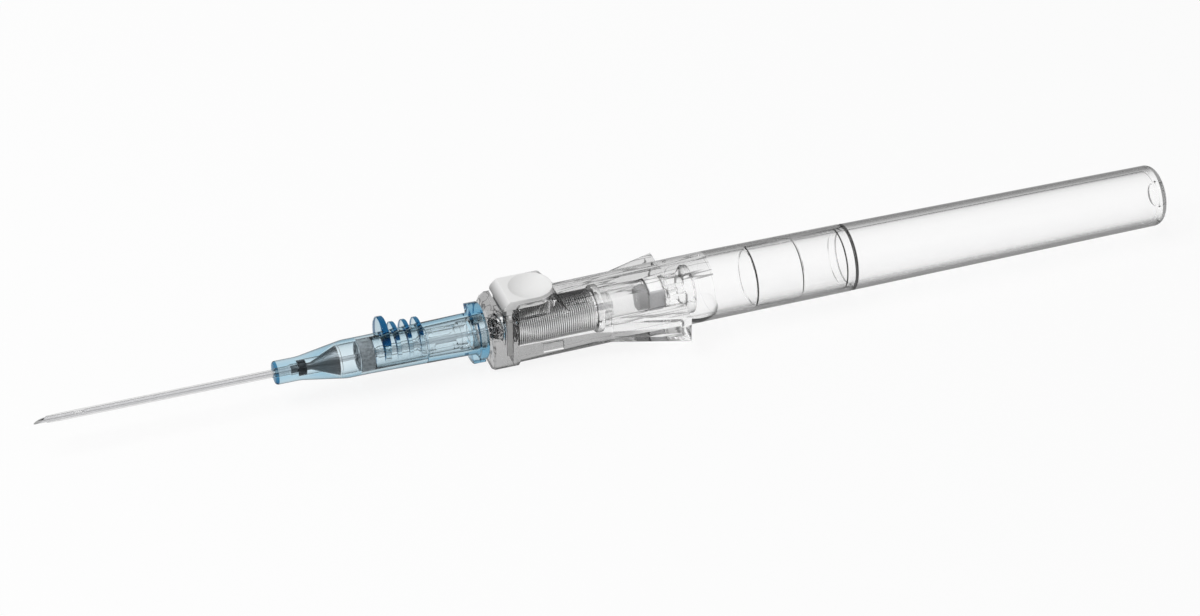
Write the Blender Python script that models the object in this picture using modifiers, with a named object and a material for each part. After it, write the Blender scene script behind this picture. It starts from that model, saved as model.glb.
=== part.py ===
"""Shielded IV catheter: a steel needle inside a soft catheter, with a blue blood-control hub,
and a clear safety grip whose white button lets a spring pull the needle back into a long tube.

Lengths are in millimetres and become metres through MM. Stations are distances behind the
needle tip along the device axis. The device lies along X with its needle towards -X and its
button up, and the origin lies under the middle of its length, on the surface it rests on.
"""

import math

import bmesh
import bpy
from mathutils import Matrix, Vector

MM = 0.001

# Fits
SLIDE_GAP = 0.06
SEAT_GAP = 0.05
BUTT_GAP = 0.05
PRESS_GAP = 0.02
NEEDLE_PLAY = 0.04
EDGE_CHAMFER = 0.1

# Needle
NEEDLE_DIAMETER = 0.66
NEEDLE_BORE = 0.40
NEEDLE_LEAD = 1.6
BEVEL_LENGTH = 1.7
NOTCH_STATION = 5.0
NOTCH_LENGTH = 1.4
NOTCH_DEPTH = 0.2

# Catheter tube and its steel funnel
CATHETER_EXPOSED = 29.0
CATHETER_WALL = 0.13
CATHETER_TIP_WALL = 0.05
CATHETER_TIP_TAPER = 1.8
WEDGE_INSET = 2.2
WEDGE_WALL = 0.08
WEDGE_NOSE_LENGTH = 2.6
WEDGE_CONE_LENGTH = 3.4
WEDGE_MOUTH_DIAMETER = 3.7
TUBE_GRIP_LENGTH = 0.75
TUBE_FLARE_LENGTH = 0.4
RING_DIAMETER = 1.9
RING_LENGTH = 1.1

# Catheter hub, front half
HUB_NOSE_DIAMETER = 3.02
HUB_NOSE_LENGTH = 3.2
HUB_FLARE_LENGTH = 5.9
HUB_WAIST_DIAMETER = 4.92
HUB_FRONT_LENGTH = 19.4
HUB_SEAM_DIAMETER = 5.22
HUB_WALL = 0.34
HUB_FLARE_BLEND = 6.0
HUB_NOSE_ROUNDING = 0.35
HUB_OVERRUN = 1.0
TAB_RIB_GAP = 0.85
TAB_THICKNESS = 0.8
TAB_TOP = 4.8
TAB_RADIUS = 3.0
RIB_SEAM_GAP = 0.3
RIB_PITCH = 1.55
RIB_COUNT = 3
RIB_THICKNESS = 0.55
RIB_TOP = 3.7
RIB_RADIUS = 2.7
CREST_ROUNDING = 0.15

# Catheter hub, rear half, with its Luer socket
HUB_REAR_LENGTH = 7.85
HUB_REAR_DIAMETER = 5.48
SLEEVE_WALL = 0.32
LUER_MOUTH_DIAMETER = 4.30
LUER_TAPER = 0.06
LUER_DEPTH = 7.5
FLANGE_THICKNESS = 1.1
FLANGE_DIAMETER = 7.2
FLANGE_ROUNDING = 0.3
LUG_SPAN = 7.8
LUG_LENGTH = 1.75
LUG_REAR_INSET = 0.15
LUG_HALF_ANGLE = math.radians(34)

# Blood-control seal and its plunger
SEPTUM_OFFSET = 10.9
SEPTUM_THICKNESS = 1.84
SEPTUM_RIM_WIDTH = 0.5
SEPTUM_FRONT_DISH = 0.25
SEPTUM_REAR_DISH = 0.5
SEPTUM_DISH_RADIUS = 0.8
PLUNGER_GAP = 0.66
PLUNGER_REAR_GAP = 0.4
PLUNGER_NOSE_LENGTH = 5.3
PLUNGER_NOSE_DIAMETER = 1.5
PLUNGER_TIP_CHAMFER = 0.2
PLUNGER_CONE_LENGTH = 1.2
PLUNGER_BODY_DIAMETER = 3.2
PLUNGER_WALL = 0.4
PLUNGER_RIM_DIAMETER = 3.6
PLUNGER_RIM_LENGTH = 1.0
PLUNGER_WINDOW_MARGIN = 0.7
PLUNGER_WINDOW_WIDTH = 0.9

# Grip: front block, body, rear barrel
GRIP_GAP = 0.4
NOSE_LENGTH = 1.7
NOSE_WALL = 0.42
BLOCK_LENGTH = 3.4
BLOCK_HALF_WIDTH = 3.6
BLOCK_TOP = 4.0
BLOCK_DROP = 4.35
BLOCK_CORNER = 1.2
BLOCK_BROW = 0.9
BLOCK_CHAMFER = 0.15
BODY_STEP = 0.25
GRIP_BORE = 7.2
BODY_LENGTH = 26.3
BODY_HALF_WIDTH = 3.5
BODY_TOP = 3.1
BODY_DROP = 4.0
BODY_WALL = 0.65
CAVITY_END_DIAMETER = 7.0
BARREL_DIAMETER = 8.92
BARREL_LENGTH = 19.2
JOINT_DIAMETER = 8.8
JOINT_LENGTH = 13.5
CHEEK_OFFSET = 2.5
CHEEK_TOP = 5.1
CHEEK_FRONT = 3.4
CHEEK_THICKNESS = 0.45
CHEEK_LENGTH = 5.7
CHEEK_SLOPE = 1.0
CHEEK_TAIL = 2.0
WING_START = 12.0
WING_LENGTH = 13.0
WING_ROOT = 3.5
WING_KNEE = 3.2
WING_KNEE_REACH = 4.45
WING_SPAN = 15.4
WING_TOP = 1.25
WING_BOTTOM = -2.4
WING_RIM = 0.7
WING_RECESS = 0.8
WING_RECESS_MARGIN = 0.4
WING_END_RIM = 0.9
PAD_STATION = 27.6
PAD_LENGTH = 5.4
PAD_HEIGHT = 4.8
PAD_REACH = 5.1
PAD_DEPTH = 1.6
PAD_DROP = 0.3
CLIP_STATION = 6.6
CLIP_LENGTH = 2.7
CLIP_HEIGHT = 1.3
CLIP_DROP = 1.95
CLIP_FACE = 3.7
CLIP_DEPTH = 0.35

# White push button with its latch plate
PAD_OFFSET = 1.5
PLATE_OFFSET = 2.0
PLATE_THICKNESS = 0.75
PLATE_HALF_WIDTH = 2.8
PLATE_FOOT = 2.5
PLATE_LAP = 0.3
LATCH_HOLE = 2.2
RELEASE_HOLE = 3.2
BUTTON_TRAVEL = 1.5
BUTTON_HALF_WIDTH = 2.85
BUTTON_TOP = 5.55
BUTTON_THICKNESS = 1.2
BUTTON_SLOPE = 1.0
BUTTON_STRAIGHT = 4.5
BUTTON_SIDE_GAP = 0.16
BUTTON_FLOOR_GAP = 0.2
DISH_DIAMETER = 5.5
DISH_DEPTH = 0.75

# Needle carriage
LATCH_FLANGE_DIAMETER = 2.9
LATCH_FLANGE_LENGTH = 0.5
LATCH_NECK_DIAMETER = 1.9
LATCH_PLAY = 0.15
CORE_DIAMETER = 4.4
SPRING_SEAT_DIAMETER = 6.0
SPRING_SEAT_LENGTH = 0.85
SPIGOT_DIAMETER = 3.4
SPIGOT_LENGTH = 1.4
KEY_REACH = 2.95
KEY_HALF_WIDTH = 1.1
KEY_LENGTH = 1.7
CHAMBER_DIAMETER = 4.8
CHAMBER_LENGTH = 6.1
PLUG_DIAMETER = 5.0
PLUG_FLATS = 3.5
PLUG_CHAMFER = 0.25
PLUG_LENGTH = 2.1
PLUG_SPIGOT_LENGTH = 1.2
VENT_BORE = 0.5
CAP_DIAMETER = 4.8
CAP_LENGTH = 3.9
CAP_WALL = 0.6
CAP_RING_DIAMETER = 6.2
CAP_RING_LENGTH = 0.7
CAP_FLARE_LENGTH = 0.7
CAP_VENT_RADIUS = 0.6
CAP_WINDOW = 2.2
ADHESIVE_LENGTH = 0.6
ADHESIVE_WELL_RADIUS = 0.65
ADHESIVE_CROWN = 0.25
RETRACT_TRAVEL = 63.0

# Retraction spring
SPRING_DIAMETER = 5.34
SPRING_WIRE = 0.22
SPRING_LENGTH = 10.8
SPRING_TURNS = 37

# Shield tube
SHIELD_END_GAP = 1.75
SHIELD_FRONT_DIAMETER = 8.74
SHIELD_END_DIAMETER = 8.1
SHIELD_WALL = 0.75
SHIELD_END_WALL = 1.1
SHIELD_END_ROUNDING = 1.2
SHIELD_CHAMFER = 0.15
SHIELD_DIMPLE_DIAMETER = 3.1
SHIELD_DIMPLE_DEPTH = 0.35
SHIELD_SHOULDER = 0.5
SPIGOT_WALL = 0.38
BEAD_OFFSET = 4.7
BEAD_LENGTH = 1.7
BEAD_HEIGHT = 0.12
BEAD_RAMP = 0.1

# Facets around round pieces
FINE_STEPS = 36
MEDIUM_STEPS = 28
SMALL_STEPS = 20

# Stations along the axis, from the needle tip
NEEDLE_RADIUS = NEEDLE_DIAMETER / 2
HUB_START = NEEDLE_LEAD + CATHETER_EXPOSED
WEDGE_START = HUB_START + WEDGE_INSET
TUBE_END = WEDGE_START + TUBE_GRIP_LENGTH
RING_START = TUBE_END + BUTT_GAP
WEDGE_CONE_START = WEDGE_START + WEDGE_NOSE_LENGTH
WEDGE_END = WEDGE_CONE_START + WEDGE_CONE_LENGTH
HUB_SEAM = HUB_START + HUB_FRONT_LENGTH
SEPTUM_START = HUB_START + SEPTUM_OFFSET
SEPTUM_END = SEPTUM_START + SEPTUM_THICKNESS
SLEEVE_START = SEPTUM_END + BUTT_GAP
HUB_END = HUB_SEAM + BUTT_GAP + HUB_REAR_LENGTH
PLUNGER_START = SEPTUM_END + PLUNGER_GAP
PLUNGER_END = HUB_END - NOSE_LENGTH - PLUNGER_REAR_GAP
RIBS_START = HUB_SEAM - RIB_SEAM_GAP - (RIB_COUNT - 1) * RIB_PITCH - RIB_THICKNESS
TAB_START = RIBS_START - TAB_RIB_GAP - TAB_THICKNESS
BLOCK_START = HUB_END + GRIP_GAP
PAD_START = BLOCK_START + PAD_OFFSET
PAD_END = PAD_START + BUTTON_STRAIGHT + BUTTON_HALF_WIDTH
PLATE_START = BLOCK_START + PLATE_OFFSET
PLATE_END = PLATE_START + PLATE_THICKNESS
BLOCK_END = BLOCK_START + BLOCK_LENGTH
BODY_END = BLOCK_END + BODY_LENGTH
GRIP_END = BODY_END + BARREL_LENGTH
SHIELD_START = GRIP_END - JOINT_LENGTH
SPRING_START = BLOCK_END + BUTT_GAP
SPRING_END = SPRING_START + SPRING_LENGTH
CARRIAGE_SEAT = SPRING_END + BUTT_GAP
CARRIAGE_END = CARRIAGE_SEAT + SPRING_SEAT_LENGTH
CHAMBER_START = CARRIAGE_END + BUTT_GAP
CHAMBER_END = CHAMBER_START + CHAMBER_LENGTH
PLUG_START = CHAMBER_END + BUTT_GAP
PLUG_END = PLUG_START + PLUG_LENGTH
CAP_START = PLUG_END + BUTT_GAP
CAP_END = CAP_START + CAP_LENGTH
DEVICE_LENGTH = CAP_END + RETRACT_TRAVEL + SHIELD_END_GAP + SHIELD_END_WALL

# Radii that follow from what fits in what
CATHETER_BORE_RADIUS = NEEDLE_RADIUS + NEEDLE_PLAY
CATHETER_RADIUS = CATHETER_BORE_RADIUS + CATHETER_WALL
WEDGE_INNER_RADIUS = NEEDLE_RADIUS + SLIDE_GAP
WEDGE_RADIUS = WEDGE_INNER_RADIUS + WEDGE_WALL
TUBE_FLARED_RADIUS = WEDGE_RADIUS + PRESS_GAP + CATHETER_WALL
HUB_NOSE_BORE_RADIUS = CATHETER_RADIUS + SEAT_GAP
HUB_TUBE_BORE_RADIUS = TUBE_FLARED_RADIUS + SEAT_GAP
HUB_RING_BORE_RADIUS = RING_DIAMETER / 2 + SEAT_GAP
WEDGE_MOUTH_RADIUS = WEDGE_MOUTH_DIAMETER / 2
HUB_THROAT_RADIUS = WEDGE_MOUTH_RADIUS + SEAT_GAP
HUB_SOCKET_RADIUS = HUB_WAIST_DIAMETER / 2 - HUB_WALL
SEPTUM_RADIUS = HUB_SOCKET_RADIUS - SEAT_GAP
SLEEVE_RADIUS = HUB_SOCKET_RADIUS - SEAT_GAP
SLEEVE_BORE_RADIUS = SLEEVE_RADIUS - SLEEVE_WALL
LUER_END_RADIUS = (LUER_MOUTH_DIAMETER - LUER_TAPER * LUER_DEPTH) / 2
NOSE_END_RADIUS = (LUER_MOUTH_DIAMETER - LUER_TAPER * NOSE_LENGTH) / 2 - SLIDE_GAP
NOSE_BORE_RADIUS = NOSE_END_RADIUS - NOSE_WALL
GRIP_BORE_RADIUS = GRIP_BORE / 2
LATCH_HOLE_RADIUS = LATCH_HOLE / 2
RELEASE_HOLE_RADIUS = RELEASE_HOLE / 2
CORE_RADIUS = CORE_DIAMETER / 2
WALL_BORE_RADIUS = CORE_RADIUS + LATCH_PLAY
CHAMBER_BORE_RADIUS = SPIGOT_DIAMETER / 2 + SEAT_GAP
JOINT_BORE_RADIUS = SHIELD_FRONT_DIAMETER / 2 - SHIELD_SHOULDER
SHIELD_BORE_RADIUS = SHIELD_FRONT_DIAMETER / 2 - SHIELD_WALL
AXIS_HEIGHT = max(BLOCK_DROP, BARREL_DIAMETER / 2)


def new_collection(name):
    made = bpy.data.collections.new(name)
    bpy.context.scene.collection.children.link(made)
    return made


def new_material(name, color, roughness, metallic=0.0, alpha=1.0):
    material = bpy.data.materials.new(name)
    material.use_nodes = True
    shader = material.node_tree.nodes["Principled BSDF"]
    shader.inputs["Base Color"].default_value = (*color, 1.0)
    shader.inputs["Roughness"].default_value = roughness
    shader.inputs["Metallic"].default_value = metallic
    shader.inputs["Alpha"].default_value = alpha
    material.diffuse_color = (*color, alpha)
    return material


def add_piece(name, mesh, material=None):
    """A sub-part in the object's collection, or a hidden helper where it has no material."""
    piece = bpy.data.objects.new(name, mesh)
    if material:
        mesh.materials.append(material)
        parts.objects.link(piece)
    else:
        cutters.objects.link(piece)
        piece.hide_render = True
        piece.display_type = "WIRE"
    piece.parent = device_axis
    return piece


def rounded(points, segments=3):
    """The outline with an arc at each point that states a radius as its third number."""
    outline = []
    for index, point in enumerate(points):
        if len(point) < 3:
            outline.append((point[0], point[1]))
            continue
        corner = Vector(point[:2])
        to_last = (Vector(points[index - 1][:2]) - corner)
        to_next = (Vector(points[(index + 1) % len(points)][:2]) - corner)
        half = to_last.angle(to_next) / 2
        reach = point[2] / math.tan(half)
        reach = min(reach, 0.49 * to_last.length, 0.49 * to_next.length)
        radius = reach * math.tan(half)
        middle = (to_last.normalized() + to_next.normalized()).normalized()
        centre = corner + middle * radius / math.sin(half)
        first = corner + to_last.normalized() * reach - centre
        last = corner + to_next.normalized() * reach - centre
        turn = first.angle_signed(last)
        for step in range(segments + 1):
            spoke = first.copy()
            spoke.rotate(Matrix.Rotation(-turn * step / segments, 2))
            outline.append(tuple(centre + spoke))
    return outline


def turned(name, profile, steps, material=None, facet_shift=0.0):
    """A body turned about the device axis from (station, radius) points.

    The points run down the outer side from rear to front, then back along the bore. A
    profile with both ends on the axis is a solid bar, and any other is a ring. A facet
    shift turns it by that share of a facet, so that its edges cross those of its neighbour.
    """
    turn = 2 * math.pi * facet_shift / steps
    mesh = bpy.data.meshes.new(name)
    across = Vector((math.cos(turn), math.sin(turn), 0.0))
    points = [across * radius * MM + Vector((0.0, 0.0, station * MM)) for station, radius in profile]
    edges = [(index, index + 1) for index in range(len(points) - 1)]
    if profile[0][1] > 0 or profile[-1][1] > 0:
        edges.append((len(points) - 1, 0))
    mesh.from_pydata(points, edges, [])
    piece = add_piece(name, mesh, material)
    piece.rotation_euler = (0.0, math.pi / 2, 0.0)
    screw = piece.modifiers.new("Turn", "SCREW")
    screw.axis = "Z"
    screw.steps = steps
    screw.render_steps = steps
    screw.use_merge_vertices = True
    screw.merge_threshold = 0.000001
    screw.use_smooth_shade = True
    return piece


def slab(name, outline, lower, upper, across, material=None):
    """A flat outline extruded between two levels along X, Y or Z."""
    curve = bpy.data.curves.new(name, "CURVE")
    curve.dimensions = "2D"
    curve.fill_mode = "BOTH"
    curve.extrude = (upper - lower) / 2 * MM
    spline = curve.splines.new("POLY")
    spline.points.add(len(outline) - 1)
    for point, (first, second) in zip(spline.points, outline):
        point.co = (first * MM, second * MM, 0.0, 1.0)
    spline.use_cyclic_u = True
    guide = bpy.data.objects.new(name + "_outline", curve)
    bpy.context.scene.collection.objects.link(guide)
    graph = bpy.context.evaluated_depsgraph_get()
    mesh = bpy.data.meshes.new_from_object(guide.evaluated_get(graph))
    bpy.data.objects.remove(guide)
    frames = {
        "X": Matrix(((0, 0, 1), (1, 0, 0), (0, 1, 0))),
        "Y": Matrix(((1, 0, 0), (0, 0, -1), (0, 1, 0))),
        "Z": Matrix.Identity(3),
    }
    middle = (lower + upper) / 2 * MM
    level = Vector([middle if axis == across else 0.0 for axis in "XYZ"])
    mesh.transform(Matrix.Translation(level) @ frames[across].to_4x4())
    tidy_mesh(mesh)
    return add_piece(name, mesh, material)


def tidy_mesh(mesh):
    """Welds loose caps and turns the faces outwards."""
    body = bmesh.new()
    body.from_mesh(mesh)
    bmesh.ops.remove_doubles(body, verts=body.verts, dist=0.0000005)
    bmesh.ops.recalc_face_normals(body, faces=body.faces)
    body.to_mesh(mesh)
    body.free()


def block(name, low, high, material=None):
    """A box between two corners."""
    body = bmesh.new()
    bmesh.ops.create_cube(body, size=1.0)
    size = [(top - bottom) * MM for bottom, top in zip(low, high)]
    middle = [(top + bottom) / 2 * MM for bottom, top in zip(low, high)]
    bmesh.ops.scale(body, vec=size, verts=body.verts)
    bmesh.ops.translate(body, vec=middle, verts=body.verts)
    mesh = bpy.data.meshes.new(name)
    body.to_mesh(mesh)
    body.free()
    return add_piece(name, mesh, material)


def ellipsoid(name, centre, radii, rings=10):
    body = bmesh.new()
    bmesh.ops.create_uvsphere(body, u_segments=2 * rings, v_segments=rings, radius=1.0)
    bmesh.ops.scale(body, vec=[radius * MM for radius in radii], verts=body.verts)
    bmesh.ops.translate(body, vec=[place * MM for place in centre], verts=body.verts)
    mesh = bpy.data.meshes.new(name)
    body.to_mesh(mesh)
    body.free()
    return add_piece(name, mesh)


def loft(name, sections, material=None):
    """A closed body through (station, outline) sections that all have as many points."""
    body = bmesh.new()
    loops = []
    for station, outline in sections:
        loops.append([body.verts.new((station * MM, y * MM, z * MM)) for y, z in outline])
    for front, rear in zip(loops, loops[1:]):
        for index in range(len(front)):
            after = (index + 1) % len(front)
            body.faces.new((front[index], front[after], rear[after], rear[index]))
    body.faces.new(loops[0])
    body.faces.new(loops[-1])
    mesh = bpy.data.meshes.new(name)
    body.to_mesh(mesh)
    body.free()
    tidy_mesh(mesh)
    return add_piece(name, mesh, material)


def combine(piece, tool, operation):
    boolean = piece.modifiers.new(operation.title() + " " + tool.name, "BOOLEAN")
    boolean.operation = operation
    boolean.solver = "EXACT"
    boolean.object = tool


def cut(piece, *tools):
    for tool in tools:
        combine(piece, tool, "DIFFERENCE")


def join(piece, *tools):
    for tool in tools:
        combine(piece, tool, "UNION")


def smooth_rounds(piece, angle=35):
    piece.data.shade_smooth()
    piece.data.set_sharp_from_angle(angle=math.radians(angle))


def make_needle():
    """Cannula with a bevel that faces up and a small notch that shows the first blood."""
    needle = turned(
        "needle",
        [
            (CHAMBER_START + SPIGOT_LENGTH, NEEDLE_RADIUS),
            (0.0, NEEDLE_RADIUS),
            (0.0, NEEDLE_BORE / 2),
            (CHAMBER_START + SPIGOT_LENGTH, NEEDLE_BORE / 2),
        ],
        SMALL_STEPS,
        steel,
    )
    slope = NEEDLE_DIAMETER / BEVEL_LENGTH
    over = 1.0
    bevel = slab(
        "bevel_cutter",
        [
            (-over, -NEEDLE_RADIUS - slope * over),
            (BEVEL_LENGTH + over, NEEDLE_RADIUS + slope * over),
            (-over, NEEDLE_RADIUS + slope * over),
        ],
        -over,
        over,
        "Y",
    )
    notch = block(
        "notch_cutter",
        (NOTCH_STATION, -over, NEEDLE_RADIUS - NOTCH_DEPTH),
        (NOTCH_STATION + NOTCH_LENGTH, over, over),
    )
    cut(needle, bevel, notch)


def make_catheter_tube():
    flare_start = WEDGE_START - TUBE_FLARE_LENGTH
    turned(
        "catheter_tube",
        [
            (TUBE_END, TUBE_FLARED_RADIUS),
            (WEDGE_START, TUBE_FLARED_RADIUS),
            (flare_start, CATHETER_RADIUS),
            (NEEDLE_LEAD + CATHETER_TIP_TAPER, CATHETER_RADIUS),
            (NEEDLE_LEAD, CATHETER_BORE_RADIUS + CATHETER_TIP_WALL),
            (NEEDLE_LEAD, CATHETER_BORE_RADIUS),
            (flare_start, CATHETER_BORE_RADIUS),
            (WEDGE_START - SEAT_GAP, TUBE_FLARED_RADIUS - CATHETER_WALL),
            (TUBE_END, TUBE_FLARED_RADIUS - CATHETER_WALL),
        ],
        SMALL_STEPS,
        clear_soft,
    )


def make_wedge():
    """Steel funnel: its nose holds the flared tube, its mouth guides the needle in."""
    turned(
        "catheter_wedge",
        [
            (WEDGE_END, WEDGE_MOUTH_RADIUS),
            (WEDGE_CONE_START, WEDGE_RADIUS),
            (WEDGE_START, WEDGE_RADIUS),
            (WEDGE_START, WEDGE_INNER_RADIUS),
            (WEDGE_CONE_START, WEDGE_INNER_RADIUS),
            (WEDGE_END, WEDGE_MOUTH_RADIUS - WEDGE_WALL),
        ],
        SMALL_STEPS,
        steel,
    )
    ring_radius = RING_DIAMETER / 2
    turned(
        "retaining_ring",
        [
            (RING_START + RING_LENGTH, ring_radius),
            (RING_START, ring_radius),
            (RING_START, WEDGE_RADIUS + PRESS_GAP),
            (RING_START + RING_LENGTH, WEDGE_RADIUS + PRESS_GAP),
        ],
        SMALL_STEPS,
        black,
    )


def crest(name, station, thickness, radius, top):
    """A disc across the hub, raised so that it stands proud above and sinks in at the sides."""
    disc = turned(
        name,
        rounded(
            [
                (station + thickness, 0.0),
                (station + thickness, radius, CREST_ROUNDING),
                (station, radius, CREST_ROUNDING),
                (station, 0.0),
            ],
            2,
        ),
        MEDIUM_STEPS,
        facet_shift=0.5,
    )
    disc.location.z = (top - radius) * MM
    return disc


def make_hub_front():
    """Front moulding of the hub, with the push-off tab and the ribs on its upper half."""
    hub_radius = HUB_WAIST_DIAMETER / 2
    nose_radius = HUB_NOSE_DIAMETER / 2
    flare_start = HUB_START + HUB_NOSE_LENGTH
    flare_end = flare_start + HUB_FLARE_LENGTH
    hub = turned(
        "hub_front",
        rounded(
            [
                (HUB_SEAM, 0.0),
                (HUB_SEAM, HUB_SEAM_DIAMETER / 2),
                (flare_end + HUB_NOSE_LENGTH, hub_radius),
                (flare_end, hub_radius, HUB_FLARE_BLEND),
                (flare_start, nose_radius, HUB_FLARE_BLEND),
                (HUB_START, nose_radius, HUB_NOSE_ROUNDING),
                (HUB_START, 0.0),
            ]
        ),
        MEDIUM_STEPS,
        blue,
    )
    join(hub, crest("hub_tab", TAB_START, TAB_THICKNESS, TAB_RADIUS, TAB_TOP))
    for index in range(RIB_COUNT):
        station = RIBS_START + index * RIB_PITCH
        join(hub, crest(f"hub_rib_{index + 1}", station, RIB_THICKNESS, RIB_RADIUS, RIB_TOP))
    throat_end = SEPTUM_START - BUTT_GAP
    cone_share = (HUB_RING_BORE_RADIUS - SEAT_GAP - WEDGE_RADIUS) / (WEDGE_MOUTH_RADIUS - WEDGE_RADIUS)
    bore = turned(
        "hub_front_bore",
        [
            (HUB_SEAM + HUB_OVERRUN, 0.0),
            (HUB_SEAM + HUB_OVERRUN, HUB_SOCKET_RADIUS),
            (throat_end, HUB_SOCKET_RADIUS),
            (throat_end, HUB_THROAT_RADIUS),
            (WEDGE_END, HUB_THROAT_RADIUS),
            (WEDGE_CONE_START + WEDGE_CONE_LENGTH * cone_share, HUB_RING_BORE_RADIUS),
            (TUBE_END, HUB_RING_BORE_RADIUS),
            (TUBE_END, HUB_TUBE_BORE_RADIUS),
            (WEDGE_START, HUB_TUBE_BORE_RADIUS),
            (WEDGE_START - TUBE_FLARE_LENGTH, HUB_NOSE_BORE_RADIUS),
            (HUB_START - HUB_OVERRUN, HUB_NOSE_BORE_RADIUS),
            (HUB_START - HUB_OVERRUN, 0.0),
        ],
        MEDIUM_STEPS,
    )
    cut(hub, bore)


def sector(name, inner, outer, half_angle, middle, start, end):
    """A piece of a thick ring around the axis, centred on an angle from +Y."""
    count = 8
    angles = [middle + half_angle * (2 * index / count - 1) for index in range(count + 1)]
    outline = [(outer * math.cos(angle), outer * math.sin(angle)) for angle in angles]
    outline += [(inner * math.cos(angle), inner * math.sin(angle)) for angle in reversed(angles)]
    return slab(name, outline, start, end, "X")


def make_hub_rear():
    """Rear moulding: a sleeve inside the front half, then the Luer socket and lock lugs."""
    rear_radius = HUB_REAR_DIAMETER / 2
    seam = HUB_SEAM + BUTT_GAP
    hub = turned(
        "hub_rear",
        rounded(
            [
                (HUB_END, 0.0),
                (HUB_END, FLANGE_DIAMETER / 2, FLANGE_ROUNDING),
                (HUB_END - FLANGE_THICKNESS, FLANGE_DIAMETER / 2, FLANGE_ROUNDING),
                (HUB_END - FLANGE_THICKNESS, rear_radius, FLANGE_ROUNDING),
                (seam, HUB_SEAM_DIAMETER / 2),
                (seam, SLEEVE_RADIUS),
                (SLEEVE_START, SLEEVE_RADIUS),
                (SLEEVE_START, 0.0),
            ]
        ),
        MEDIUM_STEPS,
        blue,
    )
    for name, middle in (("upper_lug", math.pi / 2), ("lower_lug", -math.pi / 2)):
        lug = sector(
            name,
            rear_radius - LUG_REAR_INSET,
            LUG_SPAN / 2,
            LUG_HALF_ANGLE,
            middle,
            HUB_END - LUG_LENGTH,
            HUB_END - LUG_REAR_INSET,
        )
        join(hub, lug)
    luer_end = HUB_END - LUER_DEPTH
    over = 1.0
    bore = turned(
        "hub_rear_bore",
        [
            (HUB_END + over, 0.0),
            (HUB_END + over, LUER_MOUTH_DIAMETER / 2 + LUER_TAPER * over / 2),
            (luer_end, LUER_END_RADIUS),
            (luer_end, SLEEVE_BORE_RADIUS),
            (SLEEVE_START - over, SLEEVE_BORE_RADIUS),
            (SLEEVE_START - over, 0.0),
        ],
        MEDIUM_STEPS,
    )
    cut(hub, bore)


def make_septum():
    """Seal disc, its rear face dished, with the needle through its middle."""
    hole = NEEDLE_RADIUS + PRESS_GAP
    rim = SEPTUM_RADIUS - SEPTUM_RIM_WIDTH
    turned(
        "septum",
        rounded(
            [
                (SEPTUM_END, SEPTUM_RADIUS, CREST_ROUNDING),
                (SEPTUM_START, SEPTUM_RADIUS, CREST_ROUNDING),
                (SEPTUM_START, rim),
                (SEPTUM_START + SEPTUM_FRONT_DISH, rim - SEPTUM_FRONT_DISH),
                (SEPTUM_START + SEPTUM_FRONT_DISH, hole),
                (SEPTUM_END - SEPTUM_REAR_DISH, hole),
                (SEPTUM_END - SEPTUM_REAR_DISH, SEPTUM_DISH_RADIUS),
                (SEPTUM_END, SEPTUM_DISH_RADIUS + SEPTUM_REAR_DISH),
            ],
            1,
        ),
        24,
        grey,
    )


def make_plunger():
    """Clear plunger: a fluid path that a mated connector pushes through the seal."""
    nose = PLUNGER_NOSE_DIAMETER / 2
    body = PLUNGER_BODY_DIAMETER / 2
    rim = PLUNGER_RIM_DIAMETER / 2
    cone_start = PLUNGER_START + PLUNGER_NOSE_LENGTH
    cone_end = cone_start + PLUNGER_CONE_LENGTH
    rim_start = PLUNGER_END - PLUNGER_RIM_LENGTH
    nose_bore = NEEDLE_RADIUS + SLIDE_GAP
    plunger = turned(
        "septum_actuator",
        [
            (PLUNGER_END, rim),
            (rim_start, rim),
            (rim_start, body),
            (cone_end, body),
            (cone_start, nose),
            (PLUNGER_START + 2 * PLUNGER_TIP_CHAMFER, nose),
            (PLUNGER_START, nose - PLUNGER_TIP_CHAMFER),
            (PLUNGER_START, nose_bore),
            (cone_start, nose_bore),
            (cone_end, body - PLUNGER_WALL),
            (PLUNGER_END, body - PLUNGER_WALL),
        ],
        SMALL_STEPS,
        clear,
    )
    start = cone_end + PLUNGER_WINDOW_MARGIN
    half = PLUNGER_WINDOW_WIDTH / 2
    end = rim_start - PLUNGER_WINDOW_MARGIN
    reach = 2 * rim
    outline = rounded([(start, -half, half), (end, -half, half), (end, half, half), (start, half, half)])
    cut(plunger, slab("plunger_windows_up", outline, -reach, reach, "Z"))
    cut(plunger, slab("plunger_windows_side", outline, -reach, reach, "Y"))


def body_outline(half_width, top, bottom, corner, segments=5):
    """A rounded rectangle in YZ with a fixed number of points, whatever its corners."""
    outline = []
    corners = (
        (half_width - corner, top - corner, 0.0),
        (corner - half_width, top - corner, 0.5 * math.pi),
        (corner - half_width, bottom + corner, math.pi),
        (half_width - corner, bottom + corner, 1.5 * math.pi),
    )
    for y, z, start in corners:
        for step in range(segments + 1):
            angle = start + 0.5 * math.pi * step / segments
            outline.append((y + corner * math.cos(angle), z + corner * math.sin(angle)))
    return outline


def round_outline(radius):
    """A circle with the points of a rounded rectangle, its corners almost meeting."""
    return body_outline(radius, radius, -radius, 0.995 * radius)


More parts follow.
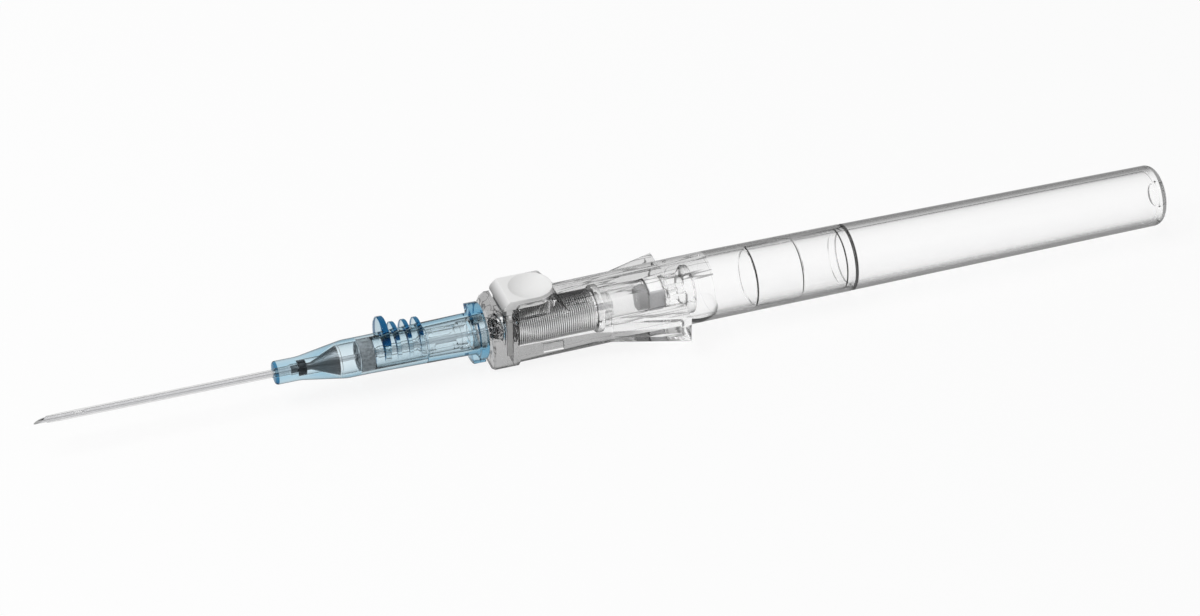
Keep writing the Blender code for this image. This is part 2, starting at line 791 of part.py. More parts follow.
def make_grip():
    """Clear housing: nose, latch block, body that turns from square to round, barrel."""
    low = -BLOCK_DROP
    joint = JOINT_DIAMETER / 2
    sections = [
        (
            BLOCK_START,
            body_outline(
                BLOCK_HALF_WIDTH - BLOCK_CHAMFER, BLOCK_TOP - BLOCK_BROW, low + BLOCK_CHAMFER, BLOCK_CORNER
            ),
        ),
        (
            BLOCK_START + 2 * BLOCK_CHAMFER,
            body_outline(BLOCK_HALF_WIDTH, BLOCK_TOP - BLOCK_BROW / 2, low, BLOCK_CORNER),
        ),
        (BLOCK_START + BLOCK_BROW, body_outline(BLOCK_HALF_WIDTH, BLOCK_TOP, low, BLOCK_CORNER)),
        (BLOCK_END, body_outline(BLOCK_HALF_WIDTH, BLOCK_TOP, low, BLOCK_CORNER)),
        (BLOCK_END + BODY_STEP, body_outline(BODY_HALF_WIDTH, BODY_TOP, -BODY_DROP, BLOCK_CORNER)),
        (BODY_END, round_outline(BARREL_DIAMETER / 2)),
        (GRIP_END - BLOCK_CHAMFER, round_outline(joint)),
        (GRIP_END, round_outline(joint - BLOCK_CHAMFER)),
    ]
    grip = loft("grip", sections, clear)
    nose_root = BLOCK_START + BLOCK_CHAMFER
    nose = turned(
        "grip_nose",
        [
            (nose_root, 0.0),
            (nose_root, NOSE_END_RADIUS + LUER_TAPER / 2 * (nose_root - HUB_END + NOSE_LENGTH)),
            (HUB_END - NOSE_LENGTH, NOSE_END_RADIUS),
            (HUB_END - NOSE_LENGTH, 0.0),
        ],
        MEDIUM_STEPS,
    )
    cheek_start = BLOCK_START + CHEEK_OFFSET
    cheek_end = cheek_start + CHEEK_LENGTH
    half = BUTTON_HALF_WIDTH + BUTTON_SIDE_GAP + CHEEK_THICKNESS
    cheeks = slab(
        "grip_cheeks",
        rounded(
            [
                (cheek_start, 0.0),
                (cheek_end + CHEEK_TAIL, 0.0),
                (cheek_end + CHEEK_TAIL, BODY_TOP - BODY_WALL / 2),
                (cheek_end, CHEEK_TOP, 0.6),
                (cheek_start + CHEEK_SLOPE, CHEEK_TOP, 0.6),
                (cheek_start, CHEEK_FRONT),
            ]
        ),
        -half,
        half,
        "Y",
    )
    join(grip, nose, cheeks)
    for side in (-1, 1):
        join(grip, *wing_and_pad(side))
    cut(grip, *wing_recesses())
    cut(grip, *grip_hollows())


def wing_and_pad(side):
    """The finger wing, which flares rearward, and the rounded stop pad behind it."""
    label = "left" if side > 0 else "right"
    start = BLOCK_START + WING_START
    end = start + WING_LENGTH
    outline = [
        (start, side * WING_ROOT),
        (start + WING_KNEE, side * WING_KNEE_REACH),
        (end, side * WING_SPAN / 2),
        (end, side * WING_ROOT),
    ]
    wing = slab(f"wing_{label}", outline, WING_BOTTOM, WING_TOP, "Z")
    pad = ellipsoid(
        f"pad_{label}",
        (BLOCK_START + PAD_STATION, side * (PAD_REACH - PAD_DEPTH), -PAD_DROP),
        (PAD_LENGTH / 2, PAD_DEPTH, PAD_HEIGHT / 2),
    )
    return wing, pad


def wing_recesses():
    """The scooped hollows in the wings' outer faces, and the clip recesses on the flanks."""
    knee = BLOCK_START + WING_START + WING_KNEE
    start = knee + WING_RECESS_MARGIN
    end = BLOCK_START + WING_START + WING_LENGTH - WING_END_RIM
    flare = (WING_SPAN / 2 - WING_KNEE_REACH) / (WING_LENGTH - WING_KNEE)
    clip = BLOCK_START + CLIP_STATION
    tools = []
    for side in (-1, 1):
        label = "left" if side > 0 else "right"
        outline = [
            (start, side * WING_SPAN / 2),
            (start, side * WING_KNEE_REACH),
            (end, side * (WING_KNEE_REACH + flare * (end - knee) - WING_RECESS)),
            (end, side * WING_SPAN),
        ]
        tools.append(
            slab(f"wing_recess_{label}", outline, WING_BOTTOM + WING_RIM, WING_TOP - WING_RIM, "Z")
        )
        inner, outer = sorted((side * (CLIP_FACE - CLIP_DEPTH), side * 2 * CLIP_FACE))
        tools.append(
            block(
                f"clip_recess_{label}",
                (clip, inner, -CLIP_DROP - CLIP_HEIGHT / 2),
                (clip + CLIP_LENGTH, outer, -CLIP_DROP + CLIP_HEIGHT / 2),
            )
        )
    return tools


def grip_hollows():
    """The cavity, the bores before and behind it, the latch slot and the button's opening."""
    joint_start = SHIELD_START - BUTT_GAP
    bead_start = SHIELD_START + BEAD_OFFSET
    bead_end = bead_start + BEAD_LENGTH
    groove = JOINT_BORE_RADIUS + BEAD_HEIGHT + PRESS_GAP
    over = 1.0
    bore = turned(
        "barrel_bore",
        [
            (GRIP_END + over, 0.0),
            (GRIP_END + over, JOINT_BORE_RADIUS),
            (bead_end + BEAD_RAMP, JOINT_BORE_RADIUS),
            (bead_end, groove),
            (bead_start, groove),
            (bead_start - BEAD_RAMP, JOINT_BORE_RADIUS),
            (joint_start, JOINT_BORE_RADIUS),
            (joint_start, GRIP_BORE_RADIUS),
            (BODY_END, GRIP_BORE_RADIUS),
            (BODY_END, 0.0),
        ],
        FINE_STEPS,
    )
    cavity = loft(
        "body_cavity",
        [
            (
                BLOCK_END,
                body_outline(
                    BODY_HALF_WIDTH - BODY_WALL,
                    SPRING_DIAMETER / 2 + LATCH_PLAY,
                    BODY_WALL - BODY_DROP,
                    BLOCK_CORNER - BODY_WALL / 2,
                ),
            ),
            (BODY_END + over, round_outline(CAVITY_END_DIAMETER / 2)),
        ],
    )
    nose_bore = turned(
        "nose_bore",
        [
            (BLOCK_END + over, 0.0),
            (BLOCK_END + over, WALL_BORE_RADIUS),
            (PLATE_START - LATCH_PLAY, WALL_BORE_RADIUS),
            (PLATE_START - LATCH_PLAY, NOSE_BORE_RADIUS),
            (HUB_END - NOSE_LENGTH - over, NOSE_BORE_RADIUS),
            (HUB_END - NOSE_LENGTH - over, 0.0),
        ],
        FINE_STEPS,
    )
    slot_side = PLATE_HALF_WIDTH + SLIDE_GAP
    slot = block(
        "latch_slot",
        (PLATE_START - SLIDE_GAP, -slot_side, -PLATE_FOOT - BUTTON_TRAVEL - SLIDE_GAP),
        (PLATE_END + SLIDE_GAP, slot_side, 2 * CHEEK_TOP),
    )
    side = BUTTON_HALF_WIDTH + BUTTON_SIDE_GAP
    opening = slab(
        "button_opening",
        rounded(
            [
                (PAD_START - SLIDE_GAP, -side),
                (PAD_END + BUTTON_SIDE_GAP, -side, side),
                (PAD_END + BUTTON_SIDE_GAP, side, side),
                (PAD_START - SLIDE_GAP, side),
            ],
            8,
        ),
        BUTTON_TOP - BUTTON_THICKNESS - BUTTON_TRAVEL - BUTTON_FLOOR_GAP,
        2 * CHEEK_TOP,
        "Z",
    )
    return bore, cavity, nose_bore, slot, opening


def make_button():
    """White button: a dished pad in the cheeks and a latch plate with a keyhole."""
    button = slab(
        "push_button",
        rounded(
            [
                (PAD_START, -BUTTON_HALF_WIDTH),
                (PAD_END, -BUTTON_HALF_WIDTH, BUTTON_HALF_WIDTH),
                (PAD_END, BUTTON_HALF_WIDTH, BUTTON_HALF_WIDTH),
                (PAD_START, BUTTON_HALF_WIDTH),
            ],
            8,
        ),
        BUTTON_TOP - BUTTON_THICKNESS,
        BUTTON_TOP,
        "Z",
        white,
    )
    over = 1.0
    slope = slab(
        "button_slope",
        [
            (PAD_START - over, BUTTON_TOP - BUTTON_SLOPE),
            (PAD_START, BUTTON_TOP - BUTTON_SLOPE),
            (PAD_START + BUTTON_SLOPE, BUTTON_TOP),
            (PAD_START + BUTTON_SLOPE, BUTTON_TOP + over),
            (PAD_START - over, BUTTON_TOP + over),
        ],
        -2 * BUTTON_HALF_WIDTH,
        2 * BUTTON_HALF_WIDTH,
        "Y",
    )
    dish_radius = ((DISH_DIAMETER / 2) ** 2 + DISH_DEPTH**2) / (2 * DISH_DEPTH)
    dish = ellipsoid(
        "button_dish",
        (PAD_START + BUTTON_STRAIGHT, 0.0, BUTTON_TOP - DISH_DEPTH + dish_radius),
        (dish_radius, dish_radius, dish_radius),
        20,
    )
    plate = block(
        "latch_plate",
        (PLATE_START, -PLATE_HALF_WIDTH, -PLATE_FOOT),
        (PLATE_END, PLATE_HALF_WIDTH, BUTTON_TOP - BUTTON_THICKNESS + PLATE_LAP),
    )
    keyhole = slab("keyhole", keyhole_outline(), PLATE_START - over, PLATE_END + over, "X")
    join(button, plate)
    cut(button, slope, dish, keyhole)


def keyhole_outline():
    """Narrow hole on the axis, and above it the wide one that frees the carriage."""
    count = 12
    wide = [math.radians(-45 + 270 * index / count) for index in range(count + 1)]
    narrow = [math.radians(180 + 180 * index / count) for index in range(count + 1)]
    outline = [
        (RELEASE_HOLE_RADIUS * math.cos(angle), BUTTON_TRAVEL + RELEASE_HOLE_RADIUS * math.sin(angle))
        for angle in wide
    ]
    outline += [
        (LATCH_HOLE_RADIUS * math.cos(angle), LATCH_HOLE_RADIUS * math.sin(angle))
        for angle in narrow
    ]
    return outline


def make_carriage():
    """Needle carriage: hub with its latch flange, flash chamber, vent plug and end cap."""
    make_needle_hub()
    make_flash_chamber()
    make_end_cap()


def make_needle_hub():
    """The carriage's core around the needle, with its latch neck, spring seat and side keys."""
    flange = LATCH_FLANGE_DIAMETER / 2
    neck = LATCH_NECK_DIAMETER / 2
    neck_start = PLATE_START - LATCH_PLAY
    neck_end = PLATE_END + LATCH_PLAY
    nose = neck_start - LATCH_FLANGE_LENGTH
    seat = SPRING_SEAT_DIAMETER / 2
    spigot = SPIGOT_DIAMETER / 2
    spigot_end = CHAMBER_START + SPIGOT_LENGTH
    hole = NEEDLE_RADIUS + PRESS_GAP
    well_end = nose + ADHESIVE_LENGTH
    hub = turned(
        "needle_hub",
        [
            (spigot_end, spigot - EDGE_CHAMFER),
            (spigot_end - 2 * EDGE_CHAMFER, spigot),
            (CARRIAGE_END, spigot),
            (CARRIAGE_END, seat),
            (CARRIAGE_SEAT, seat),
            (CARRIAGE_SEAT, CORE_RADIUS),
            (neck_end, CORE_RADIUS),
            (neck_end, neck),
            (neck_start, neck),
            (neck_start, flange),
            (nose, flange - EDGE_CHAMFER),
            (nose, ADHESIVE_WELL_RADIUS),
            (well_end, ADHESIVE_WELL_RADIUS),
            (well_end, hole),
            (spigot_end, hole),
        ],
        24,
        clear,
    )
    key_root = CHAMBER_DIAMETER / 2 + EDGE_CHAMFER
    for side in (-1, 1):
        low, high = sorted((side * key_root, side * KEY_REACH))
        key = block(
            "key_left" if side > 0 else "key_right",
            (CARRIAGE_SEAT + EDGE_CHAMFER, low, -KEY_HALF_WIDTH),
            (CARRIAGE_SEAT + KEY_LENGTH, high, KEY_HALF_WIDTH),
        )
        join(hub, key)
    glue_radius = ADHESIVE_WELL_RADIUS - SEAT_GAP / 2
    turned(
        "needle_adhesive",
        [
            (well_end - SEAT_GAP, glue_radius),
            (nose, glue_radius),
            (nose - ADHESIVE_CROWN, hole + EDGE_CHAMFER),
            (nose - ADHESIVE_CROWN, hole),
            (well_end - SEAT_GAP, hole),
        ],
        SMALL_STEPS,
        amber,
    )


def make_flash_chamber():
    """The clear chamber that first shows blood, closed by a porous plug with two flats."""
    chamber = CHAMBER_DIAMETER / 2
    turned(
        "flash_chamber",
        [
            (CHAMBER_END, chamber - EDGE_CHAMFER),
            (CHAMBER_END - EDGE_CHAMFER, chamber),
            (CHAMBER_START + EDGE_CHAMFER, chamber),
            (CHAMBER_START, chamber - EDGE_CHAMFER),
            (CHAMBER_START, CHAMBER_BORE_RADIUS),
            (CHAMBER_END, CHAMBER_BORE_RADIUS),
        ],
        MEDIUM_STEPS,
        clear,
    )
    plug = PLUG_DIAMETER / 2
    spigot = SPIGOT_DIAMETER / 2
    plug_piece = turned(
        "vent_plug",
        [
            (PLUG_END, plug - PLUG_CHAMFER),
            (PLUG_END - PLUG_CHAMFER, plug),
            (PLUG_START + PLUG_CHAMFER, plug),
            (PLUG_START, plug - PLUG_CHAMFER),
            (PLUG_START, spigot),
            (PLUG_START - PLUG_SPIGOT_LENGTH, spigot - EDGE_CHAMFER),
            (PLUG_START - PLUG_SPIGOT_LENGTH, VENT_BORE / 2),
            (PLUG_END, VENT_BORE / 2),
        ],
        24,
        grey,
    )
    for side in (-1, 1):
        low, high = sorted((side * PLUG_FLATS / 2, side * PLUG_DIAMETER))
        flat = block(
            "plug_flat_left" if side > 0 else "plug_flat_right",
            (PLUG_START - PRESS_GAP, low, -PLUG_DIAMETER),
            (PLUG_END + PLUG_LENGTH, high, PLUG_DIAMETER),
        )
        cut(plug_piece, flat)


def make_end_cap():
    """Cage behind the plug, with square windows and a ring that guides it along the tube."""
    cap = CAP_DIAMETER / 2
    ring = CAP_RING_DIAMETER / 2
    cap_piece = turned(
        "chamber_end_cap",
        [
            (CAP_END, ring - EDGE_CHAMFER),
            (CAP_END - EDGE_CHAMFER, ring),
            (CAP_END - CAP_RING_LENGTH, ring),
            (CAP_END - CAP_RING_LENGTH - CAP_FLARE_LENGTH, cap),
            (CAP_START, cap),
            (CAP_START, CAP_VENT_RADIUS),
            (CAP_START + CAP_WALL, CAP_VENT_RADIUS),
            (CAP_START + CAP_WALL, cap - CAP_WALL),
            (CAP_END, cap - CAP_WALL),
        ],
        24,
        clear,
    )
    start = CAP_START + CAP_WALL
    end = start + CAP_WINDOW
    half = CAP_WINDOW / 2
    cut(
        cap_piece,
        block("cap_window_side", (start, -CAP_DIAMETER, -half), (end, CAP_DIAMETER, half)),
        block("cap_window_up", (start, -half, -CAP_DIAMETER), (end, half, CAP_DIAMETER)),
    )


def make_spring():
    """Compressed retraction spring between the grip's wall and the carriage's seat."""
    per_turn = 9
    curve = bpy.data.curves.new("retraction_spring", "CURVE")
    curve.dimensions = "3D"
    curve.bevel_depth = SPRING_WIRE / 2 * MM
    curve.bevel_resolution = 0
    curve.use_fill_caps = True
    spline = curve.splines.new("POLY")
    count = SPRING_TURNS * per_turn
    spline.points.add(count)
    radius = (SPRING_DIAMETER - SPRING_WIRE) / 2
    first = SPRING_START + SPRING_WIRE
    run = SPRING_LENGTH - 2 * SPRING_WIRE
    for index, point in enumerate(spline.points):
        angle = 2 * math.pi * index / per_turn
        station = first + run * index / count
        point.co = (station * MM, radius * math.cos(angle) * MM, radius * math.sin(angle) * MM, 1.0)
    spring = bpy.data.objects.new("retraction_spring", curve)
    curve.materials.append(steel)
    parts.objects.link(spring)
    spring.parent = device_axis


def make_shield_tube():
    """Long closed tube, plugged into the grip with a snap bead on its spigot."""
    shoulder = GRIP_END + BUTT_GAP
    front = SHIELD_FRONT_DIAMETER / 2
    rear = SHIELD_END_DIAMETER / 2
    spigot = JOINT_BORE_RADIUS - SEAT_GAP
    bead_start = SHIELD_START + BEAD_OFFSET + BEAD_RAMP
    bead_end = bead_start + BEAD_LENGTH - 2 * BEAD_RAMP
    inner = min(SHIELD_BORE_RADIUS, spigot - SPIGOT_WALL)
    dimple = SHIELD_DIMPLE_DIAMETER / 2
    turned(
        "shield_tube",
        rounded(
            [
                (DEVICE_LENGTH - SHIELD_DIMPLE_DEPTH, 0.0),
                (DEVICE_LENGTH - SHIELD_DIMPLE_DEPTH, dimple - SHIELD_CHAMFER),
                (DEVICE_LENGTH, dimple),
                (DEVICE_LENGTH, rear, SHIELD_END_ROUNDING),
                (shoulder + SHIELD_CHAMFER, front),
                (shoulder, front - SHIELD_CHAMFER),
                (shoulder, spigot),
                (bead_end, spigot),
                (bead_end - 2 * BEAD_RAMP, spigot + BEAD_HEIGHT),
                (bead_start + 2 * BEAD_RAMP, spigot + BEAD_HEIGHT),
                (bead_start, spigot),
                (SHIELD_START + SHIELD_CHAMFER, spigot),
                (SHIELD_START, spigot - SHIELD_CHAMFER),
                (SHIELD_START, inner),
                (DEVICE_LENGTH - SHIELD_END_WALL, rear - SHIELD_WALL, 0.6),
                (DEVICE_LENGTH - SHIELD_END_WALL, 0.0),
            ],
        ),
        FINE_STEPS,
        clear,
    )


for leftover in list(bpy.data.objects):
    bpy.data.objects.remove(leftover)
parts = new_collection("shielded_iv_catheter")
cutters = new_collection("cutters")
steel = new_material("stainless steel", (0.55, 0.56, 0.58), 0.25, metallic=1.0)
blue = new_material("blue clear hub plastic", (0.30, 0.58, 0.80), 0.08, alpha=0.55)
clear = new_material("clear polycarbonate", (0.93, 0.94, 0.95), 0.06, alpha=0.3)
clear_soft = new_material("clear polyurethane", (0.85, 0.86, 0.87), 0.25, alpha=0.5)
white = new_material("white acetal", (0.86, 0.86, 0.85), 0.45)
grey = new_material("grey elastomer", (0.42, 0.43, 0.44), 0.6)
black = new_material("black elastomer", (0.02, 0.02, 0.02), 0.5)
amber = new_material("cured adhesive", (0.88, 0.86, 0.78), 0.2, alpha=0.6)

device_axis = bpy.data.objects.new("device_axis", None)
parts.objects.link(device_axis)
device_axis.location = (-DEVICE_LENGTH / 2 * MM, 0.0, AXIS_HEIGHT * MM)

make_needle()
make_catheter_tube()
make_wedge()
make_hub_front()
make_hub_rear()
make_septum()
make_plunger()
make_grip()
make_button()
make_carriage()
make_spring()
make_shield_tube()
for piece in parts.objects:
    if piece.type == "MESH":
        smooth_rounds(piece)
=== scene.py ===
"""The looks of a shielded IV catheter, piece by piece in the order it is put together.

Lengths are in millimetres and become metres through MM. Stations are distances behind the
needle tip along the device's axis, which runs along X; the button faces up.
"""

import math

import bmesh
import bpy
from mathutils import Matrix, Vector


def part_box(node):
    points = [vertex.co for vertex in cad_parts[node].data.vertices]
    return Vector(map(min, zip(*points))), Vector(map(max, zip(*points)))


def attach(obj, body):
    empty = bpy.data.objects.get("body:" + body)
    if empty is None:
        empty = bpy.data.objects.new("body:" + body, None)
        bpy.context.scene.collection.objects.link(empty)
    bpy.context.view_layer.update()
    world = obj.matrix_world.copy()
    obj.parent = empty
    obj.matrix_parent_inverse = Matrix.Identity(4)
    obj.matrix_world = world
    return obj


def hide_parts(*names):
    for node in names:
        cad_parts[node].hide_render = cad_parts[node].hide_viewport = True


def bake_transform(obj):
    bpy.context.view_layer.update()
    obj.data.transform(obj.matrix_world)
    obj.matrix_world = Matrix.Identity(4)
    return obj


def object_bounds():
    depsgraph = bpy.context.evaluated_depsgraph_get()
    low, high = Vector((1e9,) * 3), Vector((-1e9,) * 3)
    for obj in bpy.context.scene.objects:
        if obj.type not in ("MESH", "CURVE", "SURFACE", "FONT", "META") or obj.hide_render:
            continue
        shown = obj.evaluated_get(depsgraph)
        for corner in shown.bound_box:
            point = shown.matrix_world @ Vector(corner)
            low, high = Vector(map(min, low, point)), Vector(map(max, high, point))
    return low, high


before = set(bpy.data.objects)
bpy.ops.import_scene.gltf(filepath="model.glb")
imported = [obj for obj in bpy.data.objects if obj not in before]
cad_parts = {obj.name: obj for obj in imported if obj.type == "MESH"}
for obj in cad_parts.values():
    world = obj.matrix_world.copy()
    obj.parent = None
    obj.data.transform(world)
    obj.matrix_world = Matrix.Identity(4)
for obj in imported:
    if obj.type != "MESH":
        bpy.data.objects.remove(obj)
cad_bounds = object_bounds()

MM = 0.001

# The photograph looks down on the device from its needle side through a long lens, so that
# the needle end is a little nearer than the closed end of the tube.
IMAGE_WIDTH = 1200
FOCAL_PIXELS = 4478
SENSOR_WIDTH = 36.0
VIEW_DISTANCE = 570.0
VIEW_TURN = math.radians(19.5)
VIEW_DROP = math.radians(35.0)
VIEW_STATION = 76.0
VIEW_RIGHT = 2.15
VIEW_UP = 0.56
CLEAR_BOUNCES = 32
MIRROR_BOUNCES = 8


def add_object(name, data):
    thing = bpy.data.objects.new(name, data)
    bpy.context.scene.collection.objects.link(thing)
    return thing


tip_x = min(corner[0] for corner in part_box("needle"))
axis_z = sum(corner[2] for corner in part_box("shield_tube")) / 2
forward = Vector(
    (
        math.cos(VIEW_DROP) * math.sin(VIEW_TURN),
        math.cos(VIEW_DROP) * math.cos(VIEW_TURN),
        -math.sin(VIEW_DROP),
    )
)
right = forward.cross(Vector((0, 0, 1))).normalized()
up = right.cross(forward)
aim = Vector((tip_x + VIEW_STATION * MM, 0, axis_z))
eye = aim - (VIEW_DISTANCE * forward + VIEW_RIGHT * right + VIEW_UP * up) * MM
camera_data = bpy.data.cameras.new("camera")
camera_data.sensor_width = SENSOR_WIDTH
camera_data.lens = FOCAL_PIXELS / IMAGE_WIDTH * SENSOR_WIDTH
camera_data.clip_start = 0.01
camera = add_object("camera", camera_data)
camera.matrix_world = Matrix.Translation(eye) @ Matrix(
    ((right.x, up.x, -forward.x), (right.y, up.y, -forward.y), (right.z, up.z, -forward.z))
).to_4x4()
bpy.context.scene.camera = camera
bpy.context.scene.view_settings.view_transform = "Standard"
cycles = bpy.context.scene.cycles
cycles.max_bounces = CLEAR_BOUNCES
cycles.transmission_bounces = CLEAR_BOUNCES
cycles.transparent_max_bounces = CLEAR_BOUNCES
cycles.glossy_bounces = MIRROR_BOUNCES


# The studio: a white table that the glass-clear plastics show as white, a pale dome that is
# darker towards its rim so that clear edges and steel read, and two soft lamps.
FLOOR_SIDE = 6.0
FLOOR_GAP = 0.2
FLOOR_WHITE = 0.9
FLOOR_SHADE = 0.12
DOME_TOP = 1.0
DOME_RIM = 0.30
DOME_LIGHT = 0.35


def nodes_of(owner):
    """The nodes and links of a material or of the world."""
    owner.use_nodes = True
    return owner.node_tree.nodes, owner.node_tree.links


def pick(nodes, links, operation, first, second):
    """The lesser or the greater of two values, by MINIMUM or MAXIMUM."""
    choice = nodes.new("ShaderNodeMath")
    choice.operation = operation
    links.new(first, choice.inputs[0])
    links.new(second, choice.inputs[1])
    return choice.outputs[0]


def show(nodes, links, lit, shown, output):
    """Gives one shader to the light, and another to the eye, to mirrors and to clear walls."""
    path = nodes.new("ShaderNodeLightPath")
    seen = path.outputs["Is Camera Ray"]
    for ray in ("Is Glossy Ray", "Is Transmission Ray"):
        seen = pick(nodes, links, "MAXIMUM", seen, path.outputs[ray])
    choice = nodes.new("ShaderNodeMixShader")
    links.new(seen, choice.inputs["Fac"])
    links.new(lit.outputs[0], choice.inputs[1])
    links.new(shown.outputs[0], choice.inputs[2])
    links.new(choice.outputs[0], output.inputs["Surface"])


def mesh_of(name, body):
    """Makes a mesh of a bmesh body, and frees the body."""
    mesh = bpy.data.meshes.new(name)
    body.to_mesh(mesh)
    body.free()
    return mesh


def make_table():
    body = bmesh.new()
    bmesh.ops.create_grid(body, x_segments=1, y_segments=1, size=FLOOR_SIDE / 2)
    mesh = mesh_of("table", body)
    table = add_object("table", mesh)
    table.location.z = cad_bounds[0][2] - FLOOR_GAP * MM
    material = bpy.data.materials.new("white table")
    nodes, links = nodes_of(material)
    nodes.clear()
    matt = nodes.new("ShaderNodeBsdfDiffuse")
    matt.inputs["Color"].default_value = (FLOOR_WHITE, FLOOR_WHITE, FLOOR_WHITE, 1)
    glow = nodes.new("ShaderNodeEmission")
    shown = nodes.new("ShaderNodeMixShader")
    shown.inputs["Fac"].default_value = 1 - FLOOR_SHADE
    links.new(matt.outputs[0], shown.inputs[1])
    links.new(glow.outputs[0], shown.inputs[2])
    show(nodes, links, matt, shown, nodes.new("ShaderNodeOutputMaterial"))
    mesh.materials.append(material)


def two_tone(nodes, links, factor, first, last, start=0.0, end=1.0):
    """A colour that turns from first to last as the factor goes from start to end."""
    ramp = nodes.new("ShaderNodeValToRGB")
    for stop, place, colour in zip(ramp.color_ramp.elements, (start, end), (first, last)):
        stop.position = place
        stop.color = (*colour, 1)
    links.new(factor, ramp.inputs["Fac"])
    return ramp.outputs["Color"]


def make_dome():
    world = bpy.data.worlds.new("studio")
    bpy.context.scene.world = world
    nodes, links = nodes_of(world)
    nodes.clear()
    place = nodes.new("ShaderNodeTexCoord")
    split = nodes.new("ShaderNodeSeparateXYZ")
    links.new(place.outputs["Generated"], split.inputs[0])
    sky = two_tone(nodes, links, split.outputs["Z"], (DOME_RIM,) * 3, (DOME_TOP,) * 3, 0.02, 0.75)
    glow = nodes.new("ShaderNodeBackground")
    links.new(sky, glow.inputs["Color"])
    light = nodes.new("ShaderNodeBackground")
    light.inputs["Color"].default_value = (1, 1, 1, 1)
    light.inputs["Strength"].default_value = DOME_LIGHT
    show(nodes, links, light, glow, nodes.new("ShaderNodeOutputWorld"))


def add_lamp(name, place, side, power):
    """A square softbox that looks at the middle of the device."""
    data = bpy.data.lights.new(name, "AREA")
    data.shape = "SQUARE"
    data.size = side
    data.energy = power
    lamp = add_object(name, data)
    lamp.location = place
    lamp.rotation_euler = (-lamp.location).to_track_quat("-Z", "Y").to_euler()


make_table()
make_dome()
add_lamp("top softbox", (-0.32, 0.02, 0.45), 0.35, 1.95)
add_lamp("side softbox", (0.5, -0.25, 0.35), 0.3, 0.5)


# Needle: a drawn stainless cannula, its bevel ground upwards, with a small notch near the
# tip through which the first blood shows. Its polish has fine lines along its length.
NEEDLE_RADIUS = 0.33
NEEDLE_BORE = 0.20
NEEDLE_END = 74.9
BEVEL_LENGTH = 1.7
NOTCH_STATION = 5.0
NOTCH_LENGTH = 1.4
NOTCH_DEPTH = 0.2

# Corners closer than MERGE are one. A face leans towards a side once its normal has more
# than SLANT of that direction, and lies square to it above FLAT.
MERGE = 0.0005
SLANT = 0.3
FLAT = 0.9


def place_mesh(name, mesh):
    """An object whose mesh is measured from the needle tip, on the axis."""
    piece = add_object(name, mesh)
    piece.location = (tip_x, 0, axis_z)
    return piece


def face_outwards(mesh):
    """Joins the corners that coincide and turns every face outwards."""
    body = bmesh.new()
    body.from_mesh(mesh)
    bmesh.ops.remove_doubles(body, verts=body.verts, dist=MERGE * MM)
    bmesh.ops.recalc_face_normals(body, faces=body.faces)
    body.to_mesh(mesh)
    body.free()


def bake(piece):
    """Gives the piece the mesh that its modifiers make."""
    graph = bpy.context.evaluated_depsgraph_get()
    mesh = bpy.data.meshes.new_from_object(piece.evaluated_get(graph))
    piece.modifiers.clear()
    old = piece.data
    piece.data = mesh
    if isinstance(old, bpy.types.Mesh):
        bpy.data.meshes.remove(old)
    face_outwards(mesh)
    return piece


def rounded(points, segments):
    """The outline with an arc at each point that states a radius as its third number."""
    outline = []
    for index, point in enumerate(points):
        if len(point) < 3:
            outline.append((point[0], point[1]))
            continue
        corner = Vector(point[:2])
        to_last = Vector(points[index - 1][:2]) - corner
        to_next = Vector(points[(index + 1) % len(points)][:2]) - corner
        half = to_last.angle(to_next) / 2
        reach = min(point[2] / math.tan(half), 0.49 * to_last.length, 0.49 * to_next.length)
        radius = reach * math.tan(half)
        middle = (to_last.normalized() + to_next.normalized()).normalized()
        centre = corner + middle * radius / math.sin(half)
        first = corner + to_last.normalized() * reach - centre
        last = corner + to_next.normalized() * reach - centre
        turn = first.angle_signed(last)
        for step in range(segments + 1):
            spoke = first.copy()
            spoke.rotate(Matrix.Rotation(-turn * step / segments, 2))
            outline.append(tuple(centre + spoke))
    return outline


def turned(name, profile, steps, facet_shift=0.0, arcs=6):
    """A body turned about the axis from (station, radius) points."""
    profile = rounded(profile, arcs)
    turn = 2 * math.pi * facet_shift / steps
    across = Vector((0, math.cos(turn), math.sin(turn)))
    points = [Vector((station, 0, 0)) * MM + across * radius * MM for station, radius in profile]
    edges = [(index, index + 1) for index in range(len(points) - 1)]
    if profile[0][1] > 0 or profile[-1][1] > 0:
        edges.append((len(points) - 1, 0))
    mesh = bpy.data.meshes.new(name)
    mesh.from_pydata(points, edges, [])
    piece = place_mesh(name, mesh)
    screw = piece.modifiers.new("Turn", "SCREW")
    screw.axis = "X"
    screw.steps = steps
    screw.render_steps = steps
    screw.use_merge_vertices = True
    screw.merge_threshold = MERGE * MM
    return bake(piece)


def slab(name, outline, lower, upper, across, arcs=6):
    """A flat outline extruded between two levels along X, Y or Z."""
    outline = rounded(outline, arcs)
    frames = {
        "X": lambda a, b, level: (level, a, b),
        "Y": lambda a, b, level: (a, level, b),
        "Z": lambda a, b, level: (a, b, level),
    }
    body = bmesh.new()
    ends = []
    for level in (lower, upper):
        ends.append([body.verts.new(Vector(frames[across](a, b, level)) * MM) for a, b in outline])
    body.faces.new(ends[0])
    body.faces.new(ends[1])
    for index in range(len(outline)):
        after = (index + 1) % len(outline)
        body.faces.new((ends[0][index], ends[0][after], ends[1][after], ends[1][index]))
    mesh = mesh_of(name, body)
    face_outwards(mesh)
    return place_mesh(name, mesh)


def block(name, low, high):
    """A box between two opposite corners."""
    corners = [(low[0], low[1]), (high[0], low[1]), (high[0], high[1]), (low[0], high[1])]
    return slab(name, corners, low[2], high[2], "Z")


